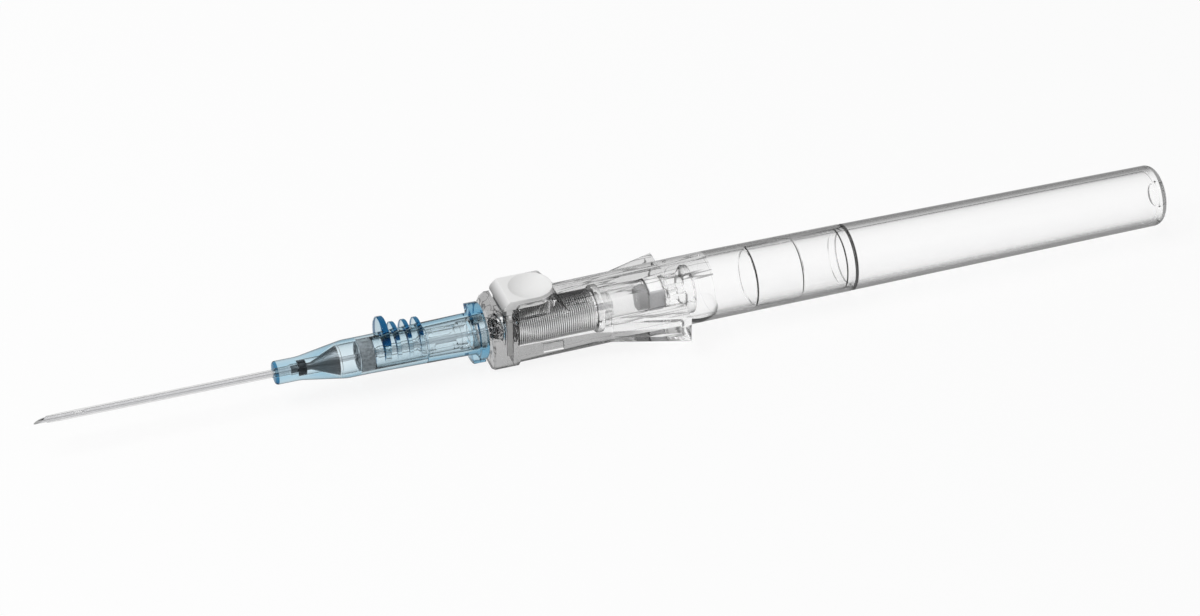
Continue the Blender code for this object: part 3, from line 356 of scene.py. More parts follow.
def combine(piece, operation, tools):
    """Cuts the tools out of a piece, or joins them to it, and removes them."""
    for tool in tools:
        boolean = piece.modifiers.new(operation, "BOOLEAN")
        boolean.operation = operation
        boolean.solver = "EXACT"
        boolean.object = tool
    bake(piece)
    for tool in tools:
        bpy.data.objects.remove(tool)
    return piece


def cut(piece, *tools):
    return combine(piece, "DIFFERENCE", tools)


def join(piece, *tools):
    return combine(piece, "UNION", tools)


def soften(piece, radius, segments=2, limit=32):
    """Small rounding on the moulding's edges, then smooth shading between sharp ones."""
    if radius:
        bevel = piece.modifiers.new("Edges", "BEVEL")
        bevel.width = radius * MM
        bevel.segments = segments
        bevel.limit_method = "ANGLE"
        bevel.angle_limit = math.radians(limit)
        bevel.use_clamp_overlap = True
        bake(piece)
    piece.data.shade_smooth()
    piece.data.set_sharp_from_angle(angle=math.radians(limit))
    return piece


def fit(piece, material, body, node):
    """Gives a piece its material and lets it stand for its CAD node."""
    piece.data.materials.clear()
    piece.data.materials.append(material)
    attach(piece, body)
    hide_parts(node)


def shader_of(name):
    material = bpy.data.materials.new(name)
    return material, *nodes_of(material)


def grain(nodes, links, scale, stretch=(1, 1, 1), detail=3):
    """Noise laid through the piece, scaled in grains to the millimetre."""
    place = nodes.new("ShaderNodeTexCoord")
    spread = nodes.new("ShaderNodeMapping")
    spread.inputs["Scale"].default_value = [part * scale / MM for part in stretch]
    noise = nodes.new("ShaderNodeTexNoise")
    noise.inputs["Scale"].default_value = 1.0
    noise.inputs["Detail"].default_value = detail
    links.new(place.outputs["Object"], spread.inputs["Vector"])
    links.new(spread.outputs["Vector"], noise.inputs["Vector"])
    return noise.outputs["Fac"]


def relief(nodes, links, height, shader, depth):
    """Fine unevenness of the surface, as deep as stated."""
    bump = nodes.new("ShaderNodeBump")
    bump.inputs["Distance"].default_value = depth * MM
    links.new(height, bump.inputs["Height"])
    links.new(bump.outputs["Normal"], shader.inputs["Normal"])


def between(nodes, links, factor, low, high):
    """A value that goes from low to high with a factor."""
    spread = nodes.new("ShaderNodeMapRange")
    spread.inputs["To Min"].default_value = low
    spread.inputs["To Max"].default_value = high
    links.new(factor, spread.inputs["Value"])
    return spread.outputs["Result"]


def along(nodes, links, axis, start, end, low=0.0, high=1.0):
    """A value that goes from low to high between two levels of X, Y or Z."""
    place = nodes.new("ShaderNodeTexCoord")
    split = nodes.new("ShaderNodeSeparateXYZ")
    links.new(place.outputs["Object"], split.inputs[0])
    spread = nodes.new("ShaderNodeMapRange")
    spread.inputs["From Min"].default_value = start * MM
    spread.inputs["From Max"].default_value = end * MM
    spread.inputs["To Min"].default_value = low
    spread.inputs["To Max"].default_value = high
    links.new(split.outputs[axis], spread.inputs["Value"])
    return spread.outputs["Result"]


def steel(name, shade, rough):
    """Steel with the fine lines that drawing or spinning leaves along it."""
    material, nodes, links = shader_of(name)
    shader = nodes["Principled BSDF"]
    shader.inputs["Base Color"].default_value = (shade, shade, shade * 1.02, 1)
    shader.inputs["Metallic"].default_value = 1.0
    lines = grain(nodes, links, 6.0, (0.05, 1, 1))
    links.new(between(nodes, links, lines, rough * 0.8, rough * 1.3), shader.inputs["Roughness"])
    relief(nodes, links, lines, shader, 0.002)
    return material


def painted_bore_steel(name, dark, bright, rough):
    """Needle bore with painted shade under the bevel and a painted highlight at the notch."""
    material = steel(name, bright, rough)
    nodes, links = nodes_of(material)
    lit = along(nodes, links, "X", NOTCH_STATION - 1.0, NOTCH_STATION - 0.2, dark, bright)
    links.new(lit, nodes["Principled BSDF"].inputs["Base Color"])
    return material


def place_of(face):
    """A face's station, its distance from the axis, and how squarely it looks away from it."""
    across = Vector((0, face.center.y, face.center.z))
    return face.center.x / MM, across.length / MM, face.normal.dot(across.normalized())


def coat(piece, face, material):
    """Gives one face a material other than its piece's first one."""
    if material.name not in piece.data.materials:
        piece.data.materials.append(material)
    face.material_index = piece.data.materials.find(material.name)


needle = turned(
    "needle_fine",
    [
        (NEEDLE_END, NEEDLE_RADIUS),
        (0.0, NEEDLE_RADIUS),
        (0.0, NEEDLE_BORE),
        (NEEDLE_END, NEEDLE_BORE),
    ],
    48,
)
rise = 2 * NEEDLE_RADIUS / BEVEL_LENGTH
bevel_tool = slab(
    "bevel_tool",
    [
        (-1.0, -NEEDLE_RADIUS - rise),
        (BEVEL_LENGTH + 1.0, NEEDLE_RADIUS + rise),
        (-1.0, NEEDLE_RADIUS + rise),
    ],
    -1.0,
    1.0,
    "Y",
)
notch_tool = block(
    "notch_tool",
    (NOTCH_STATION, -1.0, NEEDLE_RADIUS - NOTCH_DEPTH),
    (NOTCH_STATION + NOTCH_LENGTH, 1.0, 1.0),
)
cut(needle, bevel_tool, notch_tool)
soften(needle, 0)
needle_steel = steel("drawn needle steel", 0.62, 0.22)
bore_painted_light_steel = painted_bore_steel("needle bore painted light and shade", 0.35, 0.98, 0.4)
fit(needle, needle_steel, "needle_carriage", "needle")
# The bore's faces take painted shade under the bevel and a painted highlight at the notch.
for face in needle.data.polygons:
    if place_of(face)[2] < -SLANT:
        coat(needle, face, bore_painted_light_steel)


# Catheter tube: thin soft polyurethane, drawn down to the needle at its tip and flared over
# the steel funnel inside the hub. It is clear with a faint milky cast.
CATHETER_TIP = 1.6
CATHETER_BORE = 0.37
CATHETER_RADIUS = 0.50
CATHETER_TAPER = 1.8
FUNNEL_START = 32.8
CATHETER_FLARE = 0.62
FLARE_WALL = 0.13
CATHETER_END = 33.55


def clear_plastic(name, steps, rough=0.02, ior=1.12, absorbs=None, clear=1.0):
    """Clear moulding with painted shade: its tint darkens the more its faces turn from the eye.

    Each step gives a turn, from none to edge-on, and the painted shade that the face has there.
    Light leaves the moulding freely.
    """
    material, nodes, links = shader_of(name)
    shader = nodes["Principled BSDF"]
    shader.inputs["Roughness"].default_value = rough
    shader.inputs["IOR"].default_value = ior
    shader.inputs["Transmission Weight"].default_value = clear
    tilt = nodes.new("ShaderNodeLayerWeight")
    tilt.inputs["Blend"].default_value = 0.5
    ramp = nodes.new("ShaderNodeValToRGB")
    stops = ramp.color_ramp.elements
    stops.remove(stops[1])
    stops[0].position = 0.0
    stops[0].color = (1, 1, 1, 1)
    for turn, shade in steps:
        stop = stops.new(turn)
        stop.color = (shade, shade, shade, 1)
    links.new(tilt.outputs["Facing"], ramp.inputs["Fac"])
    side = nodes.new("ShaderNodeNewGeometry")
    tint = nodes.new("ShaderNodeMix")
    tint.name = "Tint"
    tint.data_type = "RGBA"
    tint.inputs["B"].default_value = (1, 1, 1, 1)
    links.new(side.outputs["Backfacing"], tint.inputs["Factor"])
    links.new(ramp.outputs["Color"], tint.inputs["A"])
    links.new(tint.outputs["Result"], shader.inputs["Base Color"])
    if absorbs:
        body = nodes.new("ShaderNodeVolumeAbsorption")
        body.inputs["Color"].default_value = (*absorbs, 1)
        body.inputs["Density"].default_value = 1 / MM
        links.new(body.outputs["Volume"], nodes["Material Output"].inputs["Volume"])
    return material


soft_tube = clear_plastic("clear polyurethane tube", ((0.1, 0.99), (0.4, 0.88), (0.7, 0.3)), 0.08, 1.1)
catheter_tube = turned(
    "catheter_tube_fine",
    [
        (CATHETER_END, CATHETER_FLARE),
        (FUNNEL_START, CATHETER_FLARE),
        (FUNNEL_START - 0.4, CATHETER_RADIUS),
        (CATHETER_TIP + CATHETER_TAPER, CATHETER_RADIUS),
        (CATHETER_TIP + 0.1, CATHETER_BORE + 0.06),
        (CATHETER_TIP, CATHETER_BORE + 0.03),
        (CATHETER_TIP, CATHETER_BORE),
        (FUNNEL_START - 0.4, CATHETER_BORE),
        (FUNNEL_START - 0.05, CATHETER_FLARE - FLARE_WALL),
        (CATHETER_END, CATHETER_FLARE - FLARE_WALL),
    ],
    64,
)
soften(catheter_tube, 0)
fit(catheter_tube, soft_tube, "catheter", "catheter_tube")


# Steel funnel: spun from thin sheet, its nose holds the flared tube in the hub and its mouth
# leads the needle in. A black band sits behind the tube on the nose.
FUNNEL_NOSE = 0.47
FUNNEL_BORE = 0.39
FUNNEL_CONE = 35.4
FUNNEL_MOUTH = 38.8
FUNNEL_MOUTH_RADIUS = 1.85
BAND_START = 33.6
BAND_END = 34.7
BAND_RADIUS = 0.95

funnel = turned(
    "funnel_fine",
    [
        (FUNNEL_MOUTH, FUNNEL_MOUTH_RADIUS),
        (FUNNEL_CONE, FUNNEL_NOSE),
        (FUNNEL_START, FUNNEL_NOSE),
        (FUNNEL_START, FUNNEL_BORE),
        (FUNNEL_CONE, FUNNEL_BORE),
        (FUNNEL_MOUTH, FUNNEL_MOUTH_RADIUS - 0.08),
    ],
    64,
)
soften(funnel, 0)
fit(funnel, steel("spun funnel steel", 0.14, 0.35), "catheter", "catheter_wedge")


def rubber(name, shade, rough, mottle, depth):
    """Matt rubber or sintered plastic, lighter and darker from speck to speck."""
    material, nodes, links = shader_of(name)
    shader = nodes["Principled BSDF"]
    specks = grain(nodes, links, 3.0)
    dark = [part * (1 - mottle) for part in shade]
    pale = [min(1, part * (1 + mottle)) for part in shade]
    links.new(two_tone(nodes, links, specks, dark, pale), shader.inputs["Base Color"])
    shader.inputs["Roughness"].default_value = rough
    relief(nodes, links, specks, shader, depth)
    return material


band = turned(
    "band_fine",
    [
        (BAND_END, BAND_RADIUS),
        (BAND_START, BAND_RADIUS),
        (BAND_START, FUNNEL_NOSE + 0.02),
        (BAND_END, FUNNEL_NOSE + 0.02),
    ],
    64,
)
soften(band, 0.03)
fit(band, rubber("black band", (0.01, 0.01, 0.012), 0.5, 0.3, 0.005), "catheter", "retaining_ring")


# Front half of the hub: clear light blue, with the push-off tab that a finger presses and
# three ribs over its upper half. Its bore holds the funnel, and its socket the seal.
HUB_START = 30.6
HUB_SEAM = 50.0
HUB_NOSE = 1.51
HUB_WAIST = 2.46
HUB_SEAM_RADIUS = 2.61
HUB_SOCKET = 2.12
HUB_SOCKET_START = 41.45
FLARE_START = 33.8
FLARE_END = 39.7
TAB_STATION = 44.4
TAB_THICKNESS = 0.8
TAB_RADIUS = 3.0
TAB_TOP = 4.8
RIB_STATIONS = (46.05, 47.6, 49.15)
RIB_THICKNESS = 0.55
RIB_RADIUS = 2.7
RIB_TOP = 3.7
BAND_POCKET = 1.0
POCKET_END = 36.58
HUB_ROOM = 0.05
HUB_RIM = 0.4
PROUD_LEVEL = 2.75
MOULD_EDGE = 0.12


def crest(station, thickness, radius, top):
    """A disc across the hub, raised so that it stands proud above and sinks in at the sides."""
    disc = turned(
        "crest_tool",
        [
            (station + thickness, 0.0),
            (station + thickness, radius, MOULD_EDGE),
            (station, radius, MOULD_EDGE),
            (station, 0.0),
        ],
        96,
        facet_shift=0.5,
        arcs=4,
    )
    disc.location.z += (top - radius) * MM
    return disc


BLUE = (0.7, 0.84, 0.9)
blue_plastic = clear_plastic(
    "clear blue hub plastic",
    ((0.1, 0.96), (0.4, 0.84), (0.6, 0.55), (0.74, 0.08), (0.9, 0.02)),
    absorbs=BLUE,
)
# Copies of the hub's blue with lighter painted shade: one for the flats across the hub, one for its
# front end, tab and ribs.
blue_flat_painted_light = clear_plastic(
    "clear blue hub flats, painted lighter", ((0.6, 0.9), (0.8, 0.6)), ior=1.1, absorbs=BLUE
)
blue_rim_painted_shade = clear_plastic(
    "clear blue hub rim, own painted shade", ((0.4, 0.97), (0.8, 0.6), (0.95, 0.1)), ior=1.1, absorbs=BLUE
)


def paint_hub_light_shade(piece):
    """Lighter painted shade on the flats across the hub, and on its front end, tab and ribs."""
    for face in piece.data.polygons:
        across = abs(face.normal.x) > FLAT
        proud = face.center.z > PROUD_LEVEL * MM and face.center.x < (HUB_SEAM + 0.5) * MM
        if face.center.x < (HUB_START + HUB_RIM) * MM or proud and not across:
            coat(piece, face, blue_rim_painted_shade)
        elif across:
            coat(piece, face, blue_flat_painted_light)


hub_front = turned(
    "hub_front_fine",
    [
        (HUB_SEAM, 0.0),
        (HUB_SEAM, HUB_SEAM_RADIUS),
        (FLARE_END + 3.2, HUB_WAIST),
        (FLARE_END, HUB_WAIST, 6.0),
        (FLARE_START, HUB_NOSE, 6.0),
        (HUB_START, HUB_NOSE, 0.35),
        (HUB_START, 0.0),
    ],
    80,
)
tab = crest(TAB_STATION, TAB_THICKNESS, TAB_RADIUS, TAB_TOP)
ribs = [crest(station, RIB_THICKNESS, RIB_RADIUS, RIB_TOP) for station in RIB_STATIONS]
join(hub_front, tab, *ribs)
hub_bore = turned(
    "hub_bore_tool",
    [
        (HUB_SEAM + 1, 0.0),
        (HUB_SEAM + 1, HUB_SOCKET),
        (HUB_SOCKET_START, HUB_SOCKET),
        (HUB_SOCKET_START, FUNNEL_MOUTH_RADIUS + HUB_ROOM),
        (FUNNEL_MOUTH + 0.3, FUNNEL_MOUTH_RADIUS + HUB_ROOM),
        (FUNNEL_MOUTH + 0.2, FUNNEL_MOUTH_RADIUS + 0.2),
        (FUNNEL_MOUTH + 0.1, FUNNEL_MOUTH_RADIUS + HUB_ROOM),
        (FUNNEL_MOUTH, FUNNEL_MOUTH_RADIUS + HUB_ROOM),
        (POCKET_END, BAND_POCKET),
        (CATHETER_END, BAND_POCKET),
        (CATHETER_END, CATHETER_FLARE + HUB_ROOM),
        (FUNNEL_START, CATHETER_FLARE + HUB_ROOM),
        (FUNNEL_START - 0.4, CATHETER_RADIUS + HUB_ROOM),
        (HUB_START - 1, CATHETER_RADIUS + HUB_ROOM),
        (HUB_START - 1, 0.0),
    ],
    80,
)
cut(hub_front, hub_bore)
soften(hub_front, 0.08)
fit(hub_front, blue_plastic, "catheter", "hub_front")
paint_hub_light_shade(hub_front)


# Rear half of the hub: its sleeve slides into the front half as far as the seal, and its
# rear is the standard conical socket with two lock lugs on its flange.
SLEEVE_START = 43.39
SLEEVE_RADIUS = 2.07
SLEEVE_BORE = 1.75
SOCKET_END = 57.9
SOCKET_MOUTH = 2.15
SOCKET_DEPTH = 7.5
SOCKET_TAPER = 0.03
FLANGE_RADIUS = 3.6
FLANGE_THICKNESS = 1.1
LUG_RADIUS = 3.9
LUG_LENGTH = 1.75
LUG_HALF_ANGLE = math.radians(34)
LUG_ROOT = 0.2
HUB_REAR_RADIUS = 2.74


def arc(radius, first, last, steps, centre=(0.0, 0.0)):
    """Points along an arc, from its first angle to its last."""
    angles = [first + (last - first) * step / steps for step in range(steps + 1)]
    return [
        (centre[0] + radius * math.cos(angle), centre[1] + radius * math.sin(angle))
        for angle in angles
    ]


hub_rear = turned(
    "hub_rear_fine",
    [
        (SOCKET_END, 0.0),
        (SOCKET_END, FLANGE_RADIUS, 0.3),
        (SOCKET_END - FLANGE_THICKNESS, FLANGE_RADIUS, 0.3),
        (SOCKET_END - FLANGE_THICKNESS, HUB_REAR_RADIUS, 0.4),
        (HUB_SEAM + HUB_ROOM, HUB_SEAM_RADIUS),
        (HUB_SEAM + HUB_ROOM, SLEEVE_RADIUS),
        (SLEEVE_START, SLEEVE_RADIUS),
        (SLEEVE_START, 0.0),
    ],
    80,
)
for middle in (math.pi / 2, -math.pi / 2):
    first = middle - LUG_HALF_ANGLE
    last = middle + LUG_HALF_ANGLE
    crown = arc(LUG_RADIUS, first, last, 16)
    foot = arc(HUB_REAR_RADIUS - LUG_ROOT, last, first, 16)
    join(hub_rear, slab("lug_tool", crown + foot, SOCKET_END - LUG_LENGTH, SOCKET_END - 0.15, "X"))
socket_tool = turned(
    "socket_tool",
    [
        (SOCKET_END + 1, 0.0),
        (SOCKET_END + 1, SOCKET_MOUTH + SOCKET_TAPER),
        (SOCKET_END - SOCKET_DEPTH, SOCKET_MOUTH - SOCKET_TAPER * SOCKET_DEPTH),
        (SOCKET_END - SOCKET_DEPTH, SLEEVE_BORE),
        (SLEEVE_START - 1, SLEEVE_BORE),
        (SLEEVE_START - 1, 0.0),
    ],
    80,
)
cut(hub_rear, socket_tool)
soften(hub_rear, 0.08)
fit(hub_rear, blue_plastic, "catheter", "hub_rear")
paint_hub_light_shade(hub_rear)


# Seal: a moulded grey elastomer disc held between the hub's halves, which keeps blood back
# once the needle has gone, until the plunger opens it.
SEAL_START = 41.5
SEAL_END = 43.34
SEAL_RADIUS = 2.07
SEAL_HOLE = 0.35

seal = turned(
    "seal_fine",
    [
        (SEAL_END, SEAL_RADIUS, 0.15),
        (SEAL_START, SEAL_RADIUS, 0.15),
        (SEAL_START, SEAL_RADIUS - 0.5, 0.08),
        (SEAL_START + 0.25, SEAL_RADIUS - 0.75, 0.08),
        (SEAL_START + 0.25, SEAL_HOLE),
        (SEAL_END - 0.5, SEAL_HOLE),
        (SEAL_END - 0.5, 0.8, 0.1),
        (SEAL_END, 1.3, 0.1),
    ],
    64,
    arcs=3,
)
soften(seal, 0)
grey_rubber = rubber("grey seal", (0.25, 0.26, 0.27), 0.45, 0.75, 0.03)
fit(seal, grey_rubber, "catheter", "septum")


# Plunger: a clear tube with windows in its sides, which a mated connector pushes through the
# seal. It stands between the seal and the grip's nose.
PLUNGER_START = 44.0
PLUNGER_END = 55.8
PLUNGER_NOSE = 0.75
PLUNGER_CONE = 49.3
PLUNGER_BODY_START = 50.5
PLUNGER_BODY = 1.6
PLUNGER_RIM = 1.8
PLUNGER_RIM_START = 54.8
PLUNGER_WALL = 0.4
WINDOW_START = 51.2
WINDOW_END = 54.2
WINDOW_HALF = 0.45

clear_inner = clear_plastic(
    "clear inner moulding", ((0.3, 0.95), (0.5, 0.55), (0.7, 0.08), (0.9, 0.01)), clear=0.95
)
plunger = turned(
    "plunger_fine",
    [
        (PLUNGER_END, PLUNGER_RIM),
        (PLUNGER_RIM_START, PLUNGER_RIM),
        (PLUNGER_RIM_START, PLUNGER_BODY),
        (PLUNGER_BODY_START, PLUNGER_BODY),
        (PLUNGER_CONE, PLUNGER_NOSE),
        (PLUNGER_START + 0.4, PLUNGER_NOSE),
        (PLUNGER_START, PLUNGER_NOSE - 0.2),
        (PLUNGER_START, FUNNEL_BORE),
        (PLUNGER_CONE, FUNNEL_BORE),
        (PLUNGER_BODY_START, PLUNGER_BODY - PLUNGER_WALL),
        (PLUNGER_END, PLUNGER_BODY - PLUNGER_WALL),
    ],
    64,
)
window = [
    (WINDOW_START, -WINDOW_HALF, 0.4),
    (WINDOW_END, -WINDOW_HALF, 0.4),
    (WINDOW_END, WINDOW_HALF, 0.4),
    (WINDOW_START, WINDOW_HALF, 0.4),
]
cut(plunger, slab("window_up", window, -3, 3, "Z"), slab("window_side", window, -3, 3, "Y"))
soften(plunger, 0.05)
fit(plunger, clear_inner, "actuator", "septum_actuator")


# Needle carriage: a clear moulding glued around the needle. Its narrow neck is what the latch
# plate holds, its long core stands inside the spring, and its seat takes the spring's push.
CARRIAGE_NOSE = 59.65
CARRIAGE_NECK_START = 60.15
CARRIAGE_NECK_END = 61.2
CARRIAGE_SEAT = 72.6
CARRIAGE_SEAT_END = 73.45
CARRIAGE_END = 74.9
NOSE_RADIUS = 1.45
NECK_RADIUS = 0.95
CORE_RADIUS = 2.2
SEAT_RADIUS = 3.0
SPIGOT_RADIUS = 1.7
NEEDLE_HOLE = 0.35
GLUE_WELL = 0.65
GLUE_END = 60.25
KEY_ROOT = 2.5
KEY_REACH = 2.95
KEY_HALF_WIDTH = 1.1
KEY_LENGTH = 1.7


def side_block(name, side, stations, reaches, levels):
    """A block beside the axis, between two stations, two distances across and two levels."""
    edges = sorted(side * reach for reach in reaches)
    return block(name, (stations[0], edges[0], levels[0]), (stations[1], edges[1], levels[1]))


carriage = turned(
    "carriage_fine",
    [
        (CARRIAGE_END, SPIGOT_RADIUS - 0.1),
        (CARRIAGE_END - 0.2, SPIGOT_RADIUS),
        (CARRIAGE_SEAT_END, SPIGOT_RADIUS),
        (CARRIAGE_SEAT_END, SEAT_RADIUS, MOULD_EDGE),
        (CARRIAGE_SEAT, SEAT_RADIUS, MOULD_EDGE),
        (CARRIAGE_SEAT, CORE_RADIUS),
        (CARRIAGE_NECK_END, CORE_RADIUS, 0.2),
        (CARRIAGE_NECK_END, NECK_RADIUS),
        (CARRIAGE_NECK_START, NECK_RADIUS),
        (CARRIAGE_NECK_START, NOSE_RADIUS, 0.1),
        (CARRIAGE_NOSE, NOSE_RADIUS - 0.15),
        (CARRIAGE_NOSE, GLUE_WELL),
        (GLUE_END, GLUE_WELL),
        (GLUE_END, NEEDLE_HOLE),
        (CARRIAGE_END, NEEDLE_HOLE),
    ],
    64,
    arcs=3,
)
for side in (-1, 1):
    stations = (CARRIAGE_SEAT + 0.1, CARRIAGE_SEAT + KEY_LENGTH)
    levels = (-KEY_HALF_WIDTH, KEY_HALF_WIDTH)
    join(carriage, side_block("key_tool", side, stations, (KEY_ROOT, KEY_REACH), levels))
soften(carriage, 0)
fit(carriage, clear_inner, "needle_carriage", "needle_hub")

glue = turned(
    "glue_fine",
    [
        (GLUE_END - 0.05, GLUE_WELL - 0.03),
        (CARRIAGE_NOSE, GLUE_WELL - 0.03),
        (CARRIAGE_NOSE - 0.25, NEEDLE_HOLE + 0.1, 0.1),
        (CARRIAGE_NOSE - 0.25, NEEDLE_HOLE),
        (GLUE_END - 0.05, NEEDLE_HOLE),
    ],
    48,
    arcs=3,
)
soften(glue, 0)
glue_look = clear_plastic("cured glue", ((0.2, 0.85), (0.7, 0.45)), 0.08, 1.3)
fit(glue, glue_look, "needle_carriage", "needle_adhesive")


# Flash chamber: the bright clear tube behind the spring, pressed over the carriage's spigot.
# Blood shows here first. A grey porous plug with two flats closes it, and lets air out.
CHAMBER_START = 73.5
CHAMBER_END = 79.6
CHAMBER_RADIUS = 2.4
CHAMBER_BORE = 1.75
PLUG_START = 79.65
PLUG_END = 81.75
PLUG_RADIUS = 2.5
PLUG_FLAT = 1.75
PLUG_SPIGOT = 1.2
VENT_RADIUS = 0.25

chamber = turned(
    "chamber_fine",
    [
        (CHAMBER_END, CHAMBER_RADIUS, MOULD_EDGE),
        (CHAMBER_START, CHAMBER_RADIUS, MOULD_EDGE),
        (CHAMBER_START, CHAMBER_BORE),
        (CHAMBER_END, CHAMBER_BORE),
    ],
    64,
    arcs=3,
)
soften(chamber, 0)
bright_clear = clear_plastic("bright clear chamber", ((0.4, 1.0), (0.6, 0.8), (0.8, 0.1)), clear=0.85)
fit(chamber, bright_clear, "needle_carriage", "flash_chamber")

plug = turned(
    "plug_fine",
    [
        (PLUG_END, PLUG_RADIUS, 0.3),
        (PLUG_START, PLUG_RADIUS, 0.3),
        (PLUG_START, SPIGOT_RADIUS),
        (PLUG_START - PLUG_SPIGOT, SPIGOT_RADIUS - 0.1),
        (PLUG_START - PLUG_SPIGOT, VENT_RADIUS),
        (PLUG_END, VENT_RADIUS),
    ],
    64,
    arcs=4,
)
for side in (-1, 1):
    stations = (PLUG_START - 0.02, PLUG_END + 1)
    cut(plug, side_block("flat_tool", side, stations, (PLUG_FLAT, 2 * PLUG_RADIUS), (-6, 6)))
soften(plug, 0.06)
plug_grey = rubber("sintered grey plug", (0.5, 0.5, 0.51), 0.6, 0.18, 0.015)
# The plug's front faces take painted shade, its upward faces a painted highlight.
plug_front_painted_shade = rubber("grey plug front, painted shade", (0.13, 0.13, 0.135), 0.5, 0.25, 0.015)
plug_top_painted_light = rubber("grey plug top, painted highlight", (0.86, 0.86, 0.86), 0.6, 0.08, 0.015)
fit(plug, plug_grey, "needle_carriage", "vent_plug")
for face in plug.data.polygons:
    if face.center.x < (PLUG_START + 0.1) * MM:
        coat(plug, face, plug_front_painted_shade)
    elif face.normal.z > 0.75:
        coat(plug, face, plug_top_painted_light)


# Cage behind the plug: a clear cup with square windows and a flared rear ring that guides the
# carriage along the long tube.
CAGE_START = 81.8
CAGE_END = 85.7
CAGE_RADIUS = 2.4
CAGE_WALL = 0.6
CAGE_RING = 3.1
CAGE_RING_LENGTH = 0.7
CAGE_WINDOW = 2.2

cage = turned(
    "cage_fine",
    [
        (CAGE_END, CAGE_RING, MOULD_EDGE),
        (CAGE_END - CAGE_RING_LENGTH, CAGE_RING, MOULD_EDGE),
        (CAGE_END - CAGE_RING_LENGTH - 0.7, CAGE_RADIUS),
        (CAGE_START, CAGE_RADIUS),
        (CAGE_START, 0.6),
        (CAGE_START + CAGE_WALL, 0.6),
        (CAGE_START + CAGE_WALL, CAGE_RADIUS - CAGE_WALL),
        (CAGE_END, CAGE_RADIUS - CAGE_WALL),
    ],
    64,
    arcs=3,
)
window_start = CAGE_START + CAGE_WALL
window_end = window_start + CAGE_WINDOW
half = CAGE_WINDOW / 2
cut(
    cage,
    block("cage_window_side", (window_start, -5, -half), (window_end, 5, half)),
    block("cage_window_up", (window_start, -half, -5), (window_end, half, 5)),
)
soften(cage, 0.05)
fit(cage, clear_inner, "needle_carriage", "chamber_end_cap")


# Retraction spring: closely wound stainless wire, stored compressed between the grip's wall
# and the carriage's seat. In the device its far end follows the carriage, so its coils open as it
# stretches; here it is one fixed mesh.
SPRING_START = 61.75
SPRING_END = 72.55
SPRING_RADIUS = 2.56
SPRING_WIRE = 0.11
SPRING_TURNS = 37
POINTS_A_TURN = 32
# Painted shade on the spring's top, between these heights above the axis, down to the deepest.
TOP_SHADE_START = 1.1
TOP_SHADE_END = 2.3
TOP_SHADE_DEEPEST = 0.3


def times(nodes, links, first, second):
    """Two colours multiplied."""
    product = nodes.new("ShaderNodeMix")
    product.data_type = "RGBA"
    product.blend_type = "MULTIPLY"
    product.inputs["Factor"].default_value = 1.0
    links.new(first, product.inputs["A"])
    links.new(second, product.inputs["B"])
    return product.outputs["Result"]


def wire_painted_light_shade(name, crown, gap, rough):
    """Wire with a painted highlight on its crowns and painted shade in its gaps and under the button.
    """
    material, nodes, links = shader_of(name)
    shader = nodes["Principled BSDF"]
    shader.inputs["Metallic"].default_value = 1.0
    shader.inputs["Roughness"].default_value = rough
    tilt = nodes.new("ShaderNodeLayerWeight")
    tilt.inputs["Blend"].default_value = 0.5
    crown_gap_painted_light = two_tone(nodes, links, tilt.outputs["Facing"], (crown,) * 3, (gap,) * 3, 0.1, 0.6)
    axis = axis_z / MM
    top_painted_shade = along(nodes, links, "Z", axis + TOP_SHADE_START, axis + TOP_SHADE_END, 1.0, TOP_SHADE_DEEPEST)
    links.new(times(nodes, links, crown_gap_painted_light, top_painted_shade), shader.inputs["Base Color"])
    return material


wire = bpy.data.curves.new("spring_wire", "CURVE")
wire.dimensions = "3D"
wire.bevel_depth = SPRING_WIRE * MM
wire.bevel_resolution = 2
wire.use_fill_caps = True
coil = wire.splines.new("POLY")
coil_points = SPRING_TURNS * POINTS_A_TURN
coil.points.add(coil_points)
first = SPRING_START + 2 * SPRING_WIRE
run = SPRING_END - SPRING_START - 4 * SPRING_WIRE
for index, point in enumerate(coil.points):
    angle = 2 * math.pi * index / POINTS_A_TURN
    point.co = (
        (first + run * index / coil_points) * MM,
        SPRING_RADIUS * math.cos(angle) * MM,
        SPRING_RADIUS * math.sin(angle) * MM,
        1.0,
    )
wound = add_object("spring_guide", wire)
wound.location = (tip_x, 0, axis_z)
graph = bpy.context.evaluated_depsgraph_get()
spring_mesh = bpy.data.meshes.new_from_object(wound.evaluated_get(graph))
bpy.data.objects.remove(wound)
face_outwards(spring_mesh)
spring_mesh.transform(Matrix.Translation((tip_x, 0, axis_z)))
spring = add_object("spring_fine", spring_mesh)
soften(spring, 0, limit=60)
# The wire carries a painted highlight on its crowns and painted shade in its gaps and on top.
spring_mesh.materials.append(wire_painted_light_shade("spring wire steel, painted light and shade", 0.98, 0.28, 0.28))
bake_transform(spring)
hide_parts("retraction_spring")


# Push button: soft white moulding with a shallow fingertip dish. Its latch plate runs down
# through the grip's front block, and a keyhole in it holds the carriage by the neck.
PAD_START = 59.8
PLATE_START = 60.3
PLATE_END = 61.05
PLATE_HALF_WIDTH = 2.8
PLATE_FOOT = 2.5
LATCH_HOLE = 1.1
RELEASE_HOLE = 1.6
BUTTON_TRAVEL = 1.5
BUTTON_HALF_WIDTH = 2.85
BUTTON_TOP = 5.55
BUTTON_THICKNESS = 1.2
BUTTON_SLOPE = 1.0
DISH_STATION = 64.3
DISH_RADIUS = 2.75
DISH_DEPTH = 0.9

